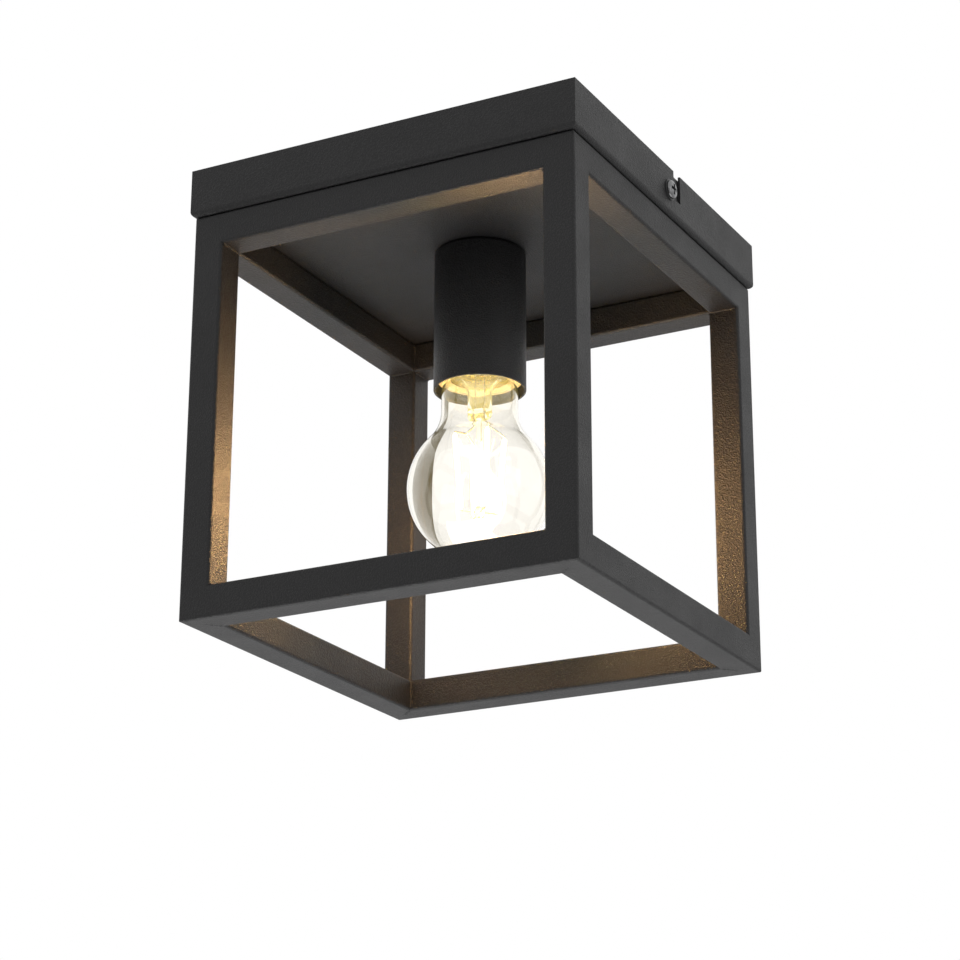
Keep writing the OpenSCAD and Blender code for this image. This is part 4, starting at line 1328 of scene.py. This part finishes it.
class LANTERN_OT_lamp_cap(bpy.types.Operator):
    """Rolled screw cap with its glass insulator, contact and driver"""

    bl_idname = "lantern.lamp_cap"
    bl_label = "Lamp cap"

    def execute(self, context):
        cap = mesh_of("cap", lathe(cap_outline(), 120))
        finished(cap, "rolled", "cap_metal", "bulb_cap")
        glass = [(1.1, -54.2), (5.2, -54.2), (6.5, -54.9), (10.4, -57.2), (11.5, -57.9)]
        glass += [(11.6, -58.3), (11.6, -59.3), (1.1, CAP_TOP)]
        insulator = mesh_of("insulator", lathe(glass, 80))
        finished(insulator, "pressed", "insulator", "bulb_insulator")
        dot = [(0, -52.7), (1.4, -52.74), (2.7, -52.86), (3.7, -53.15), (4.35, -53.6)]
        dot += [(4.6, -54.0), (4.55, -54.2), (1.0, -54.2), (1.0, CAP_TOP), (0, CAP_TOP)]
        solder = mesh_of("contact", lathe(dot, 64))
        finished(solder, "soldered", "brass", "bulb_contact")
        finished(eased("bulb_driver", SOFT_EDGE), "fitted", "board", "bulb_driver")
        return {"FINISHED"}


def add_floor(scene):
    """Wide pale floor under the lantern."""
    builder = bmesh.new()
    bmesh.ops.create_grid(builder, x_segments=8, y_segments=8, size=60.0)
    down = (0, 0, -scene.lantern_stage.floor_depth)
    bmesh.ops.translate(builder, verts=builder.verts, vec=down)
    mesh = built(builder, "floor")
    mesh.materials.append(finish("floor"))
    linked("floor", mesh)


def light_room(scene):
    """White for what the camera, metal and glass see, and a calmer light on the object."""
    world = bpy.data.worlds.new("studio")
    world.use_nodes = True
    scene.world = world
    tree = world.node_tree
    rays = add_node(tree, "ShaderNodeLightPath").outputs
    seen = maths(tree, "MAXIMUM", rays["Is Camera Ray"], rays["Is Glossy Ray"])
    seen = maths(tree, "MAXIMUM", seen, rays["Is Transmission Ray"])
    strength = between(tree, seen, scene.lantern_stage.room_light, 1.0, 0.0, 1.0)
    sockets = {"Color": (1.0, 1.0, 1.0, 1.0), "Strength": strength}
    set_sockets(tree, tree.nodes["Background"], sockets)


def area_light(name, place, way, size, power):
    """An area light that shines one way and that no camera ray meets."""
    light = bpy.data.lights.new(name, "AREA")
    light.shape = "RECTANGLE"
    light.size, light.size_y = size
    light.energy = power
    obj = linked(name, light)
    obj.location = place
    obj.rotation_euler = Vector(way).to_track_quat("-Z", "Y").to_euler()
    obj.visible_camera = False
    return obj


def add_softboxes(scene):
    """Large soft lamps at the right and from below."""
    power = scene.lantern_stage.softbox_power
    for name, place, target, size, share in (
        ("softbox_right", (1.3, -0.35, -0.1), (0, 0, -0.1), 1.0, 0.5),
        ("softbox_below", (-0.35, 0.1, -1.2), (-0.35, 0.1, 0), 1.2, 3.0),
    ):
        way = Vector(target) - Vector(place)
        area_light(name, place, way, (size, size), share * power)


def glow(scene, name, place, way, size, power):
    """One warm light of the lamp, which moves with it."""
    obj = area_light(name, place, way, size, power)
    obj.data.color = scene.lantern_lamp.glow_colour
    obj.data.spread = math.radians(125)
    obj.visible_transmission = False
    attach(obj, "bulb")


def light_lamp(scene):
    """Warm light that the four filaments throw sideways, and down past the button."""
    s = scene.lantern_lamp
    for i in range(4):
        turn = TURN * (i + 0.5) / 4
        way = Vector((math.cos(turn), math.sin(turn), 0))
        place = way * SIDE_LIGHT[0] + Vector((0, 0, SIDE_LIGHT[1]))
        glow(scene, f"filament_light_{i}", place, way, (0.008, 0.034), s.side_power)
    place, down = (DOWN_LIGHT[0], 0, DOWN_LIGHT[1]), (0, 0, -1)
    glow(scene, "filament_light_down", place, down, (0.014, 0.014), s.down_power)


def add_camera(scene):
    """Camera below the lantern and off its front right corner."""
    data = bpy.data.cameras.new("camera")
    data.sensor_fit = "HORIZONTAL"
    data.sensor_width = 36.0
    data.lens = scene.lantern_stage.lens
    data.shift_x, data.shift_y = CAMERA_SHIFT
    azimuth, elevation, roll_angle = (math.radians(a) for a in CAMERA_ANGLES)
    back = Vector((math.sin(azimuth), -math.cos(azimuth), math.tan(elevation))).normalized()
    right = (-back).cross(Vector((0, 0, 1))).normalized()
    up = right.cross(-back)
    side = right * math.cos(roll_angle) + up * math.sin(roll_angle)
    top = up * math.cos(roll_angle) - right * math.sin(roll_angle)
    matrix = Matrix((side, top, back)).transposed().to_4x4()
    matrix.translation = Vector(CAMERA_AIM) + back * CAMERA_DISTANCE
    scene.camera = linked("camera", data)
    scene.camera.matrix_world = matrix


class LANTERN_OT_stage(bpy.types.Operator):
    """Pale floor, even studio light, the lamp's own light and the camera"""

    bl_idname = "lantern.stage"
    bl_label = "Stage"

    def execute(self, context):
        scene = context.scene
        scene.view_settings.view_transform = "Standard"
        add_floor(scene)
        light_room(scene)
        add_softboxes(scene)
        light_lamp(scene)
        add_camera(scene)
        return {"FINISHED"}


# ---- panel and add-on ----

SETTINGS = {
    "lantern_paint": LanternPaintSettings,
    "lantern_weld": LanternWeldSettings,
    "lantern_lamp": LanternLampSettings,
    "lantern_stage": LanternStageSettings,
}

OPERATORS = (
    LANTERN_OT_canopy,
    LANTERN_OT_cage,
    LANTERN_OT_cage_welds,
    LANTERN_OT_ceiling_bracket,
    LANTERN_OT_side_screws,
    LANTERN_OT_cage_fixings,
    LANTERN_OT_nipple,
    LANTERN_OT_lampholder,
    LANTERN_OT_terminal_block,
    LANTERN_OT_earth_point,
    LANTERN_OT_wires,
    LANTERN_OT_lamp_glass,
    LANTERN_OT_filaments,
    LANTERN_OT_lamp_cap,
    LANTERN_OT_stage,
)


class LANTERN_PT_panel(bpy.types.Panel):
    """Lists the lantern's pieces and their settings"""

    bl_label = "Porch ceiling lantern"
    bl_idname = "LANTERN_PT_panel"
    bl_space_type = "VIEW_3D"
    bl_region_type = "UI"
    bl_category = "Lantern"

    def draw(self, context):
        layout = self.layout
        for operator in OPERATORS:
            layout.operator(operator.bl_idname)
        for name in SETTINGS:
            box = layout.box()
            settings = getattr(context.scene, name)
            for prop in SETTINGS[name].__annotations__:
                box.prop(settings, prop)


def register():
    """Add the settings, operators and panel."""
    for name, settings in SETTINGS.items():
        bpy.utils.register_class(settings)
        setattr(bpy.types.Scene, name, bpy.props.PointerProperty(type=settings))
    for operator in OPERATORS:
        bpy.utils.register_class(operator)
    bpy.utils.register_class(LANTERN_PT_panel)


def unregister():
    """Take the panel, operators and settings away again."""
    bpy.utils.unregister_class(LANTERN_PT_panel)
    for operator in reversed(OPERATORS):
        bpy.utils.unregister_class(operator)
    for name, settings in reversed(SETTINGS.items()):
        delattr(bpy.types.Scene, name)
        bpy.utils.unregister_class(settings)


def main():
    """Make every piece in order, then the stage."""
    register()
    for operator in OPERATORS:
        group, name = operator.bl_idname.split(".")
        getattr(getattr(bpy.ops, group), name)()


if __name__ == "__main__":
    main()
